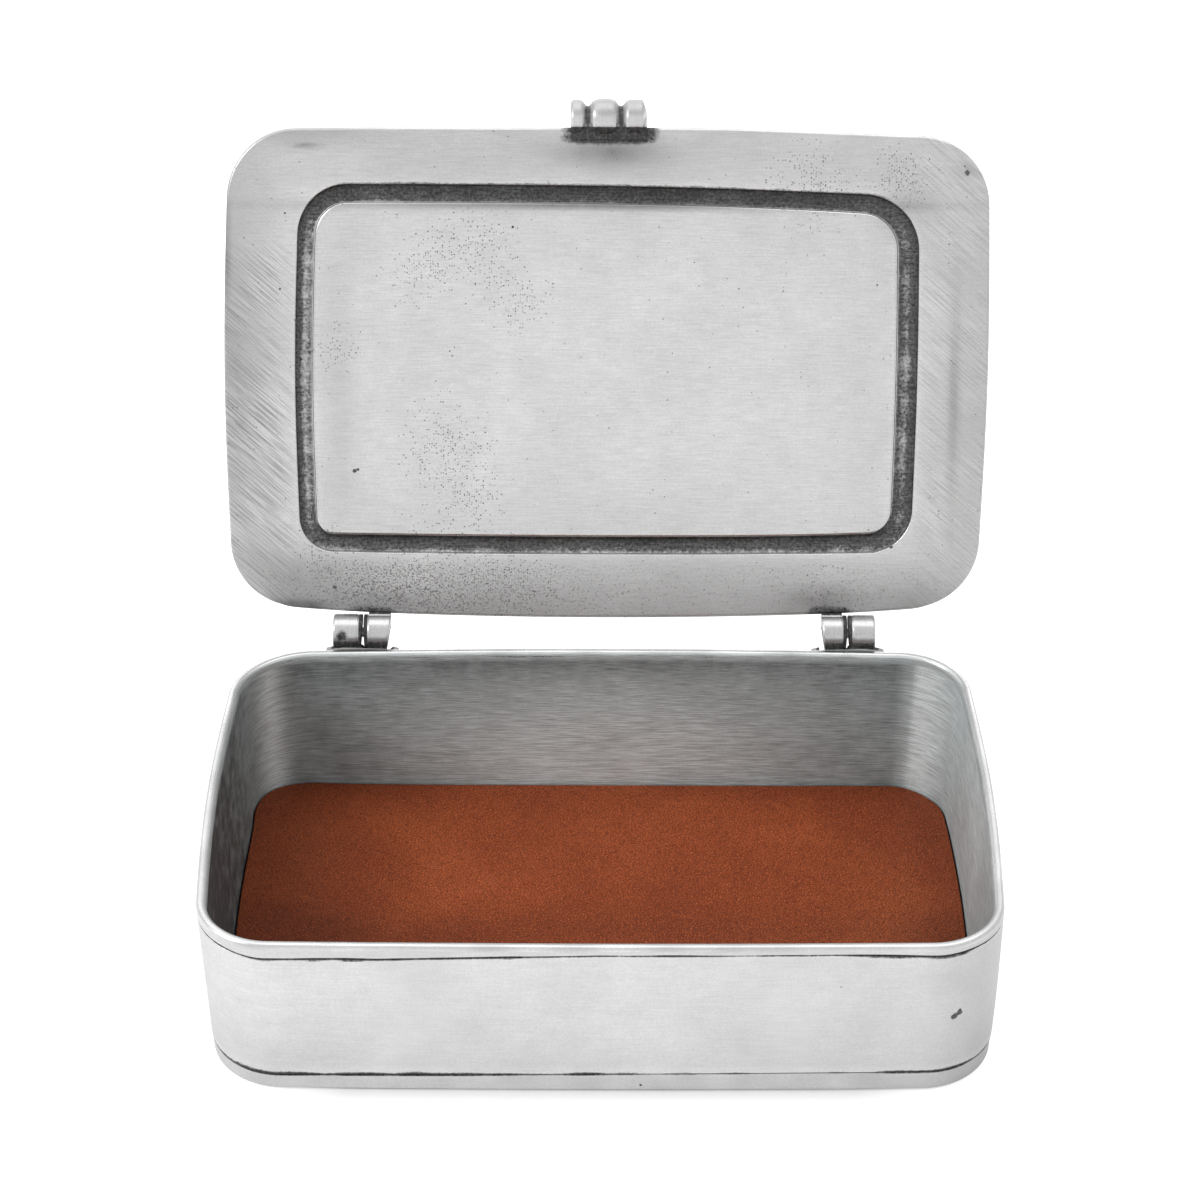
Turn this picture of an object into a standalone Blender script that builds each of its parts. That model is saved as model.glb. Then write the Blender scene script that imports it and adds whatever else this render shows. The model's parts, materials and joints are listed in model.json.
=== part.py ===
"""Pewter keepsake box: a soldered box with a leather floor, a hinged lid and a beaded thumb piece.

X runs along the width, Y from the front to the rear and Z up. The origin is the middle of the underside.
The box stands open: the lid pieces are drawn shut, about the hinge axis, and an empty on that axis tips
them back.
"""

import math

import bmesh
import bpy
from mathutils import Vector

MM = 0.001

# Box walls
box_width = 160 * MM
box_depth = 103 * MM
box_height = 36.1 * MM
corner_radius = 15.2 * MM
front_bow = 0.5 * MM
side_bow = 1.2 * MM
wall_thickness = 2 * MM
rim_round = 0.8 * MM

# Line scribed round the outside, below the rim
line_drop = 2.4 * MM
line_width = 0.7 * MM
line_depth = 0.35 * MM

# Base tray
base_height = 4.2 * MM
base_inset = 0.3 * MM
base_round = 1.6 * MM
floor_thickness = 1.2 * MM

# Floor pad: leather on a card
liner_side_gap = 2.5 * MM
board_inset = 1.2 * MM
board_thickness = 0.7 * MM
leather_thickness = 1 * MM
leather_round = 0.4 * MM

# Lid
lid_side_overhang = 1.65 * MM
lid_front_overhang = 1.2 * MM
lid_corner_radius = 14.4 * MM
lid_front_bow = 0.74 * MM
lid_side_bow = 1.2 * MM
lid_thickness = 2.8 * MM
lid_edge_round = 1 * MM
lid_side_shift = 0.5 * MM
lid_rim_gap = 0.3 * MM
lid_open_angle = math.radians(111.6)

# Raised frame on the lid's outside, and its hollow on the inside
frame_side_margin = 15.6 * MM
frame_end_margin = 12.6 * MM
frame_width = 4.2 * MM
frame_corner_radius = 10 * MM
frame_bow = 0.3 * MM
frame_rise = 0.7 * MM
hollow_depth = 1 * MM
frame_round = 0.6 * MM
hollow_round = 0.9 * MM

# Hinges
hinge_end_inset = 27.35 * MM
hinge_side_shift = 0.9 * MM
axis_behind_wall = 4.3 * MM
axis_above_rim = 1.3 * MM
knuckle_radius = 3.75 * MM
knuckle_chamfer = 0.6 * MM
fixed_knuckle_length = 6.3 * MM
lid_knuckle_length = 6.1 * MM
knuckle_gap = 0.4 * MM
pin_radius = 1.1 * MM
pin_clearance = 0.3 * MM
pin_stand_out = 0.25 * MM
pin_chamfer = 0.2 * MM

# Pad that carries a fixed knuckle on the rear wall
pad_height = 6 * MM
pad_foot_width = 16 * MM
pad_face_width = 13.6 * MM
pad_thickness = 1.3 * MM
pad_round = 0.3 * MM
web_inset = 0.4 * MM

# Neck and heel of a lid knuckle: the heel comes against the rear wall and stops the lid
neck_thickness = 2.2 * MM
heel_top_drop = 0.3 * MM
heel_height = 1.3 * MM
heel_end_inset = 0.3 * MM
heel_round = 0.25 * MM

# Thumb piece
thumb_length = 16.2 * MM
thumb_radius = 4 * MM
thumb_above_lid_face = 1.7 * MM
thumb_wall_clearance = 0.35 * MM

# Fits
solder_gap = 0.3 * MM
running_gap = 0.3 * MM
overrun = 1 * MM
weld_distance = 0.001 * MM

# Fineness of round shapes
corner_steps = 10
side_steps = 8
knuckle_sides = 32
pin_sides = 20
thumb_steps = 28
quarter_turn = math.radians(90)
sharp_angle = math.radians(35)
flat_angle = math.radians(0.05)

# Half of the thumb piece, from its middle to its end: place along the half length, and radius
thumb_profile_shares = (
    (0, 1), (0.16, 0.99), (0.27, 0.93), (0.345, 0.8), (0.4, 0.6), (0.44, 0.57),
    (0.49, 0.66), (0.55, 0.88), (0.6, 0.955), (0.92, 0.955), (1, 0.84),
)

# Sizes and places that follow
lid_width = box_width + 2 * lid_side_overhang
lid_depth = box_depth + lid_front_overhang
hinge_spacing = box_width - 2 * hinge_end_inset
axis_y = box_depth / 2 + axis_behind_wall
axis_z = box_height + axis_above_rim
wall_bottom = base_height + solder_gap
board_bottom = floor_thickness + solder_gap
board_top = board_bottom + board_thickness
leather_bottom = board_top + solder_gap
leather_top = leather_bottom + leather_thickness
lid_inner_z = lid_rim_gap - axis_above_rim
lid_outer_z = lid_inner_z + lid_thickness
lid_middle_y = -axis_behind_wall - lid_depth / 2
hinge_length = fixed_knuckle_length + knuckle_gap + lid_knuckle_length

# Colours and finishes: colour, roughness, metallic
finishes = {
    "pewter": ((0.62, 0.62, 0.61), 0.34, 1),
    "pewter_polished": ((0.7, 0.7, 0.69), 0.2, 1),
    "steel_pin": ((0.45, 0.45, 0.44), 0.3, 1),
    "card": ((0.35, 0.28, 0.2), 0.9, 0),
    "leather": ((0.26, 0.06, 0.025), 0.6, 0),
}


def clear_scene():
    """Remove every object that is already in the scene."""
    for old in list(bpy.data.objects):
        bpy.data.objects.remove(old, do_unlink=True)


def new_collection(name):
    """Return a new collection, linked to the scene."""
    collection = bpy.data.collections.new(name)
    bpy.context.scene.collection.children.link(collection)
    return collection


def make_material(name):
    """Return the Principled material of a finish, made once."""
    if name in bpy.data.materials:
        return bpy.data.materials[name]
    colour, roughness, metallic = finishes[name]
    material = bpy.data.materials.new(name)
    material.use_nodes = True
    shader = material.node_tree.nodes["Principled BSDF"]
    shader.inputs["Base Color"].default_value = (*colour, 1)
    shader.inputs["Roughness"].default_value = roughness
    shader.inputs["Metallic"].default_value = metallic
    material.diffuse_color = (*colour, 1)
    return material


def as_mesh(source, name):
    """Turn a curve, or an object with modifiers, into a welded mesh object in the same place."""
    source.name = name + "_source"
    bpy.context.view_layer.update()
    evaluated = source.evaluated_get(bpy.context.evaluated_depsgraph_get())
    mesh = bpy.data.meshes.new_from_object(evaluated)
    mesh.name = name
    work = bmesh.new()
    work.from_mesh(mesh)
    bmesh.ops.remove_doubles(work, verts=work.verts, dist=weld_distance)
    bmesh.ops.dissolve_limit(work, angle_limit=flat_angle, verts=work.verts, edges=work.edges)
    bmesh.ops.recalc_face_normals(work, faces=work.faces)
    work.to_mesh(mesh)
    work.free()
    solid = bpy.data.objects.new(name, mesh)
    solid.matrix_world = source.matrix_world
    bpy.data.objects.remove(source, do_unlink=True)
    drawing.objects.link(solid)
    return solid


def bowed_outline(width, depth, radius, end_bow, flank_bow, grow=0):
    """Return the plan of a rectangle with round corners and slightly swelling sides, counter-clockwise.

    grow moves the whole outline outwards, or inwards where it is negative.
    """
    half_width = width / 2 - flank_bow + grow
    half_depth = depth / 2 - end_bow + grow
    arc_radius = radius + grow
    corners = ((1, -1), (1, 1), (-1, 1), (-1, -1))
    arcs = []
    for index, (side_x, side_y) in enumerate(corners):
        centre = Vector((side_x * (half_width - arc_radius), side_y * (half_depth - arc_radius)))
        arc = []
        for step in range(corner_steps + 1):
            angle = quarter_turn * (index - 1 + step / corner_steps)
            arc.append(centre + arc_radius * Vector((math.cos(angle), math.sin(angle))))
        arcs.append(arc)
    points = []
    for index, arc in enumerate(arcs):
        points.extend(arc)
        next_arc = arcs[(index + 1) % len(arcs)]
        outward = Vector((math.cos(quarter_turn * index), math.sin(quarter_turn * index)))
        bow = end_bow if index % 2 else flank_bow
        for step in range(1, side_steps):
            along = step / side_steps
            swell = bow * math.sin(math.pi * along)
            points.append(arc[-1].lerp(next_arc[0], along) + outward * swell)
    return points


def box_outline(grow=0):
    """Return the plan of the walls' outside, moved outwards by grow."""
    return bowed_outline(box_width, box_depth, corner_radius, front_bow, side_bow, grow)


def lid_outline(grow=0):
    """Return the plan of the lid, moved outwards by grow."""
    return bowed_outline(lid_width, lid_depth, lid_corner_radius, lid_front_bow, lid_side_bow, grow)


def frame_outline(grow=0):
    """Return the plan of the outer edge of the frame on the lid, moved outwards by grow."""
    width = lid_width - 2 * frame_side_margin
    depth = lid_depth - 2 * frame_end_margin
    return bowed_outline(width, depth, frame_corner_radius, frame_bow, frame_bow, grow)


def add_outline(curve, points):
    """Add a closed outline of straight stretches to a curve."""
    spline = curve.splines.new("POLY")
    spline.points.add(len(points) - 1)
    for point, place in zip(spline.points, points):
        point.co = (place[0], place[1], 0, 1)
    spline.use_cyclic_u = True


def flat_plate(name, outline, bottom, top):
    """Make a solid plate of an outline, between two heights."""
    curve = bpy.data.curves.new(name, "CURVE")
    curve.dimensions = "2D"
    curve.fill_mode = "BOTH"
    curve.extrude = (top - bottom) / 2
    add_outline(curve, outline)
    guide = bpy.data.objects.new(name + "_outline", curve)
    guide.location.z = (bottom + top) / 2
    drawing.objects.link(guide)
    return as_mesh(guide, name)


def flat_ring(name, outline, thickness, bottom, top):
    """Make a closed band that stands on an outline and is thickened inwards."""
    curve = bpy.data.curves.new(name, "CURVE")
    curve.dimensions = "3D"
    curve.extrude = (top - bottom) / 2
    add_outline(curve, outline)
    guide = bpy.data.objects.new(name + "_outline", curve)
    guide.location.z = (bottom + top) / 2
    drawing.objects.link(guide)
    band = as_mesh(guide, name)
    shell = band.modifiers.new("thickness", "SOLIDIFY")
    shell.thickness = thickness
    shell.offset = -1
    shell.use_even_offset = True
    return as_mesh(band, name)


def cross_piece(name, profile, left, right):
    """Make a solid of a side profile, given as (Y, Z) points, between two places along X."""
    piece = flat_plate(name, profile, 0, right - left)
    piece.rotation_euler = (quarter_turn, 0, quarter_turn)
    piece.location = ((left + right) / 2, 0, 0)
    return piece


def round_bar(name, radius, left, right, sides, y=0, z=0):
    """Make a cylinder along X between two places."""
    mesh = bpy.data.meshes.new(name)
    work = bmesh.new()
    bmesh.ops.create_cone(
        work, cap_ends=True, segments=sides, radius1=radius, radius2=radius, depth=right - left
    )
    work.to_mesh(mesh)
    work.free()
    bar = bpy.data.objects.new(name, mesh)
    bar.rotation_euler = (0, quarter_turn, 0)
    bar.location = ((left + right) / 2, y, z)
    drawing.objects.link(bar)
    return bar


def add_bevel(piece, width, segments, chosen_heights=()):
    """Round a piece's edges: all that are sharp, or only those at the heights given within its mesh."""
    bevel = piece.modifiers.new("rounding", "BEVEL")
    bevel.width = width
    bevel.segments = segments
    bevel.use_clamp_overlap = False
    if not chosen_heights:
        bevel.limit_method = "ANGLE"
        bevel.angle_limit = sharp_angle
        return
    bevel.limit_method = "WEIGHT"
    weights = piece.data.attributes.new("bevel_weight_edge", "FLOAT", "EDGE")
    for edge in piece.data.edges:
        heights = [piece.data.vertices[index].co.z + piece.location.z for index in edge.vertices]
        for chosen in chosen_heights:
            if all(abs(height - chosen) < weld_distance for height in heights):
                weights.data[edge.index].value = 1


def combine(piece, other, operation):
    """Cut a piece with another shape, or join that shape to it."""
    boolean = piece.modifiers.new(other.name, "BOOLEAN")
    boolean.operation = operation
    boolean.solver = "EXACT"
    boolean.object = other
    for holder in list(other.users_collection):
        holder.objects.unlink(other)
    cutters.objects.link(other)
    other.hide_render = True
    other.display_type = "WIRE"


def cut(piece, *others):
    """Cut a piece with other shapes."""
    for other in others:
        combine(piece, other, "DIFFERENCE")


def join(piece, *others):
    """Join other shapes to a piece."""
    for other in others:
        combine(piece, other, "UNION")


def finish(piece, finish_name):
    """Give a piece its finish and smooth shading, and put it with the parts."""
    piece.data.materials.clear()
    piece.data.materials.append(make_material(finish_name))
    piece.data.shade_smooth()
    piece.data.set_sharp_from_angle(angle=sharp_angle)
    drawing.objects.unlink(piece)
    parts.objects.link(piece)


def hang_on_lid(*pieces):
    """Let pieces that are drawn about the hinge axis tip back with the lid."""
    for piece in pieces:
        piece.parent = lid_axis


def make_base_tray():
    """The cast base: a round lower edge, and a sunk floor for the pad."""
    tray = flat_plate("base_tray", box_outline(-base_inset), 0, base_height)
    add_bevel(tray, base_round, 4, [0])
    pocket = flat_plate(
        "floor_pocket", box_outline(-wall_thickness), floor_thickness, base_height + overrun
    )
    cut(tray, pocket)
    finish(tray, "pewter")


def make_wall_frame():
    """The band of the four walls, rounded at both edges, with the line scribed below the rim."""
    frame = flat_ring("wall_frame", box_outline(), wall_thickness, wall_bottom, box_height)
    add_bevel(frame, rim_round, 3, [box_height])
    line_top = box_height - line_drop
    line = flat_ring(
        "scribed_line", box_outline(overrun), overrun + line_depth, line_top - line_width, line_top
    )
    cut(frame, line)
    finish(frame, "pewter")


def make_floor_pad():
    """The card and the leather on it, a little smaller than the inside of the walls."""
    leather_outline = box_outline(-wall_thickness - liner_side_gap)
    board_outline = box_outline(-wall_thickness - liner_side_gap - board_inset)
    board = flat_plate("liner_board", board_outline, board_bottom, board_top)
    finish(board, "card")
    leather = flat_plate("leather_liner", leather_outline, leather_bottom, leather_top)
    add_bevel(leather, leather_round, 2, [leather_top])
    finish(leather, "leather")


def lid_plan_plate(name, outline, bottom, top):
    """Make a plate in the lid's place, drawn shut about the hinge axis."""
    plate = flat_plate(name, outline, bottom, top)
    plate.location.x = lid_side_shift
    plate.location.y = lid_middle_y
    return plate


def lid_plan_ring(name, outline, thickness, bottom, top):
    """Make a ring in the lid's place, drawn shut about the hinge axis."""
    ring = flat_ring(name, outline, thickness, bottom, top)
    ring.location.x = lid_side_shift
    ring.location.y = lid_middle_y
    return ring


def make_lid_plate():
    """The lid: a plate with round edges, a raised frame outside and its hollow inside."""
    lid = lid_plan_plate("lid_plate", lid_outline(), lid_inner_z, lid_outer_z)
    add_bevel(lid, lid_edge_round, 4, [lid_inner_z, lid_outer_z])
    raised = lid_plan_ring(
        "raised_frame", frame_outline(), frame_width, lid_outer_z - overrun, lid_outer_z + frame_rise
    )
    add_bevel(raised, frame_round, 2)
    hollow = lid_plan_ring(
        "frame_hollow", frame_outline(), frame_width, lid_inner_z - overrun, lid_inner_z + hollow_depth
    )
    add_bevel(hollow, hollow_round, 3)
    join(lid, raised)
    cut(lid, hollow)
    hang_on_lid(lid, raised, hollow)
    finish(lid, "pewter")


def wall_cutter(name, gap):
    """The space of the walls, grown by a gap."""
    return flat_plate(name, box_outline(gap), 0, box_height)


def lid_cutter(name):
    """The space of the lid's plate, grown by the solder gap all round."""
    cutter = lid_plan_plate(
        name, lid_outline(solder_gap), lid_inner_z - solder_gap, lid_outer_z + solder_gap
    )
    hang_on_lid(cutter)
    return cutter


def span(side, centre, start, end):
    """Return the lower and higher place along X of a stretch that runs outwards from a hinge's middle."""
    places = (centre + side * start, centre + side * end)
    return min(places), max(places)


def make_hinge_seat(name, side, centre):
    """The pad on the rear wall, with the web and the fixed knuckle that it carries."""
    fixed_span = span(side, centre, hinge_length / 2 - fixed_knuckle_length, hinge_length / 2)
    wall_y = box_depth / 2 - front_bow
    face_y = box_depth / 2 + solder_gap + pad_thickness
    plan = (
        (centre - pad_foot_width / 2, wall_y),
        (centre + pad_foot_width / 2, wall_y),
        (centre + pad_foot_width / 2, box_depth / 2 + solder_gap),
        (centre + pad_face_width / 2, face_y),
        (centre - pad_face_width / 2, face_y),
        (centre - pad_foot_width / 2, box_depth / 2 + solder_gap),
    )
    seat = flat_plate(name, plan, box_height - pad_height, box_height)
    add_bevel(seat, pad_round, 2)
    web_profile = (
        (wall_y, box_height - pad_height + web_inset),
        (face_y, box_height - pad_height + web_inset),
        (axis_y, axis_z - knuckle_radius + web_inset),
        (axis_y, axis_z),
        (wall_y + pad_thickness, box_height - web_inset),
    )
    web = cross_piece(name + "_web", web_profile, fixed_span[0] + web_inset, fixed_span[1] - web_inset)
    add_bevel(web, pad_round, 2)
    knuckle = round_bar(name + "_knuckle", knuckle_radius, *fixed_span, knuckle_sides, axis_y, axis_z)
    add_bevel(knuckle, knuckle_chamfer, 2)
    relief_end = hinge_length / 2 - fixed_knuckle_length - knuckle_gap / 2
    relief_span = span(side, centre, relief_end, -pad_foot_width / 2 - overrun)
    relief = round_bar(
        name + "_relief", heel_reach() + running_gap, *relief_span, knuckle_sides, axis_y, axis_z
    )
    bore = round_bar(
        name + "_bore", pin_radius + pin_clearance, fixed_span[0] - overrun, fixed_span[1] + overrun,
        pin_sides, axis_y, axis_z
    )
    cut(seat, relief)
    join(seat, web, knuckle)
    cut(seat, wall_cutter(name + "_wall_fit", solder_gap), bore)
    finish(seat, "pewter_polished")


def heel_corners():
    """Return the heel's section as (Y, Z) points about the hinge axis, as it stands with the lid open."""
    front = -axis_behind_wall - front_bow
    top = -axis_above_rim - heel_top_drop
    return ((front, top - heel_height), (0, top - heel_height), (0, top), (front, top))


def heel_reach():
    """Return how far the heel's outer corner lies from the hinge axis, once it is fitted to the wall."""
    lowest = heel_corners()[0][1]
    return math.hypot(axis_behind_wall, lowest)


def turned(points, angle):
    """Turn (Y, Z) points about the hinge axis, Y towards Z."""
    turned_points = []
    for y, z in points:
        turned_y = y * math.cos(angle) - z * math.sin(angle)
        turned_z = y * math.sin(angle) + z * math.cos(angle)
        turned_points.append((turned_y, turned_z))
    return turned_points


def make_lid_knuckle(name, side, centre):
    """The turning knuckle, with the neck that is soldered to the lid and the heel that stops it."""
    left, right = span(side, centre, -hinge_length / 2, lid_knuckle_length - hinge_length / 2)
    knuckle = round_bar(name, knuckle_radius, left, right, knuckle_sides)
    add_bevel(knuckle, knuckle_chamfer, 2)
    neck_z = (lid_inner_z + lid_outer_z - neck_thickness) / 2
    neck_profile = (
        (-axis_behind_wall - lid_front_bow, neck_z),
        (0, neck_z),
        (0, neck_z + neck_thickness),
        (-axis_behind_wall - lid_front_bow, neck_z + neck_thickness),
    )
    neck = cross_piece(name + "_neck", neck_profile, left + heel_end_inset, right - heel_end_inset)
    heel_profile = turned(heel_corners(), lid_open_angle)
    heel = cross_piece(name + "_heel", heel_profile, left + heel_end_inset, right - heel_end_inset)
    add_bevel(heel, heel_round, 2)
    bore = round_bar(
        name + "_bore", pin_radius + pin_clearance, left - overrun, right + overrun, pin_sides
    )
    hang_on_lid(knuckle, neck, heel, bore)
    join(knuckle, neck, heel)
    cut(knuckle, wall_cutter(name + "_wall_stop", running_gap), lid_cutter(name + "_lid_fit"), bore)
    finish(knuckle, "pewter_polished")


def make_hinge_pin(name, centre):
    """The pin through both knuckles of a hinge."""
    left = centre - hinge_length / 2 - pin_stand_out
    right = centre + hinge_length / 2 + pin_stand_out
    pin = round_bar(name, pin_radius, left, right, pin_sides, axis_y, axis_z)
    add_bevel(pin, pin_chamfer, 2)
    finish(pin, "steel_pin")


def make_hinges():
    """Both hinges, the left one a mirror image of the right one."""
    for side, label in ((-1, "left"), (1, "right")):
        centre = hinge_side_shift + side * hinge_spacing / 2
        make_hinge_seat("hinge_seat_" + label, side, centre)
        make_lid_knuckle("lid_knuckle_" + label, side, centre)
        make_hinge_pin("hinge_pin_" + label, centre)


def make_thumb_piece():
    """The beaded barrel on the lid's front edge, turned about X and slotted for the lid."""
    outer_half = [(along * thumb_length / 2, share * thumb_radius) for along, share in thumb_profile_shares]
    upper = [(radius, place) for place, radius in reversed(outer_half)]
    lower = [(radius, -place) for place, radius in outer_half[1:]]
    profile = [(0, thumb_length / 2)] + upper + lower + [(0, -thumb_length / 2)]
    mesh = bpy.data.meshes.new("thumb_piece")
    vertices = [(radius, 0, place) for radius, place in profile]
    edges = [(index, index + 1) for index in range(len(profile) - 1)]
    mesh.from_pydata(vertices, edges, [])
    thumb = bpy.data.objects.new("thumb_piece", mesh)
    drawing.objects.link(thumb)
    screw = thumb.modifiers.new("turning", "SCREW")
    screw.steps = thumb_steps
    screw.render_steps = thumb_steps
    screw.use_merge_vertices = True
    screw.merge_threshold = weld_distance
    screw.use_smooth_shade = True
    drop_to_rim = thumb_above_lid_face + lid_rim_gap
    half_chord = math.sqrt(thumb_radius ** 2 - drop_to_rim ** 2)
    thumb.rotation_euler = (0, quarter_turn, 0)
    thumb.location.x = lid_side_shift
    thumb.location.y = -axis_y - box_depth / 2 - thumb_wall_clearance - half_chord
    thumb.location.z = lid_inner_z + thumb_above_lid_face
    hang_on_lid(thumb)
    cut(thumb, lid_cutter("thumb_piece_lid_fit"))
    finish(thumb, "pewter_polished")


clear_scene()
parts = new_collection("pewter_box")
cutters = new_collection("cutters")
drawing = new_collection("drawing")
lid_axis = bpy.data.objects.new("lid_hinge_axis", None)
lid_axis.location = (0, axis_y, axis_z)
lid_axis.rotation_euler = (-lid_open_angle, 0, 0)
parts.objects.link(lid_axis)
make_base_tray()
make_wall_frame()
make_floor_pad()
make_lid_plate()
make_hinges()
make_thumb_piece()
bpy.data.collections.remove(drawing)
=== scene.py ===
# %% [markdown]
# # A pewter keepsake box
# A shallow box of cast and soldered pewter stands open. Its walls are one band bent round four corners and
# soldered on a tray. A scribed line runs round below the rim. The lid is a plate with a frame sunk into its
# inner face, hung on two small hinges, and a beaded barrel on its front edge is the thumb piece. A pad of
# rust-brown leather lines the floor.
#
# The measured model comes first. It is never moved: each finer piece below is built in its place.

# %% Load the measured frame
import json
import math

import bmesh
import bpy
import numpy as np
from mathutils import Matrix, Vector, noise


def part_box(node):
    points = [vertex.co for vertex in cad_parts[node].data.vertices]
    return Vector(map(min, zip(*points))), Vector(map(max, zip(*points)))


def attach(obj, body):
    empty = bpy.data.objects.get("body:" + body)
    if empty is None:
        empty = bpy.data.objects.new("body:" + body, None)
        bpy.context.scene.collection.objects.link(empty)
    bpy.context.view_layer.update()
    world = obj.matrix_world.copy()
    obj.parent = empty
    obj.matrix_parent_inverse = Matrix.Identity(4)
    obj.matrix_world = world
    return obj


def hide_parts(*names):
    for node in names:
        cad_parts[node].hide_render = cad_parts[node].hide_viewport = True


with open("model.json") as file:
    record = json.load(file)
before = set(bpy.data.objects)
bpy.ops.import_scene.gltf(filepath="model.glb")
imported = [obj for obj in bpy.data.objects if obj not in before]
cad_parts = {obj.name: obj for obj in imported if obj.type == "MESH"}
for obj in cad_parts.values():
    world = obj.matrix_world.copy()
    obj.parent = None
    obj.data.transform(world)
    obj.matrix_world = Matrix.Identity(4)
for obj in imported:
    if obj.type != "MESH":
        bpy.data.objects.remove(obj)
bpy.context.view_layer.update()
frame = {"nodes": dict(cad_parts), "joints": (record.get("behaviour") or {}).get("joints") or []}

MM = 0.001

# %% [markdown]
# ## Camera
# The photograph is square. Its camera stands over half a metre in front of the box and looks down by a
# third of a right angle, with a long lens, so the box shows little perspective. The camera was solved from
# the outlines of the walls and the lid. It is written here as a place, three angles and a focal length
# counted in pixels, which the sensor's width turns into a lens in millimetres.

# %% Make the camera
image_side = 1200
focal_pixels = 3506.5
camera_place = Vector((-1.33 * MM, -578.19 * MM, 458.14 * MM))
camera_pitch = math.radians(33.033)
camera_yaw = math.radians(0.093)
camera_roll = math.radians(0.2)
near_clip = 10 * MM
far_clip = 20


def camera_axes(pitch, yaw, roll):
    """Return the camera's right, up and forward directions."""
    level_forward = Vector((math.sin(yaw), math.cos(yaw), 0))
    forward = level_forward * math.cos(pitch) - Vector((0, 0, math.sin(pitch)))
    level_right = Vector((math.cos(yaw), -math.sin(yaw), 0))
    level_up = level_right.cross(forward)
    right = level_right * math.cos(roll) + level_up * math.sin(roll)
    up = level_up * math.cos(roll) - level_right * math.sin(roll)
    return right, up, forward


right, up, forward = camera_axes(camera_pitch, camera_yaw, camera_roll)
camera_data = bpy.data.cameras.new("camera")
camera_data.sensor_width = 36
camera_data.lens = camera_data.sensor_width * focal_pixels / image_side
camera_data.clip_start = near_clip
camera_data.clip_end = far_clip
camera = bpy.data.objects.new("camera", camera_data)
turn = Matrix((right, up, -forward)).transposed().to_4x4()
camera.matrix_world = Matrix.Translation(camera_place) @ turn
bpy.context.scene.collection.objects.link(camera)
bpy.context.scene.camera = camera
bpy.context.scene.view_settings.view_transform = "Standard"
print("lens, mm:", round(camera_data.lens, 1))

# %% [markdown]
# ## Wiring materials
# Every finish below is a small network of nodes. Blender adds and links nodes one at a time, which hides
# what a network does, so a few short helpers say it in words: a noise, a remap, a mix. Each returns the
# socket that the next one reads, and a network then reads like a sum.


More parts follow.
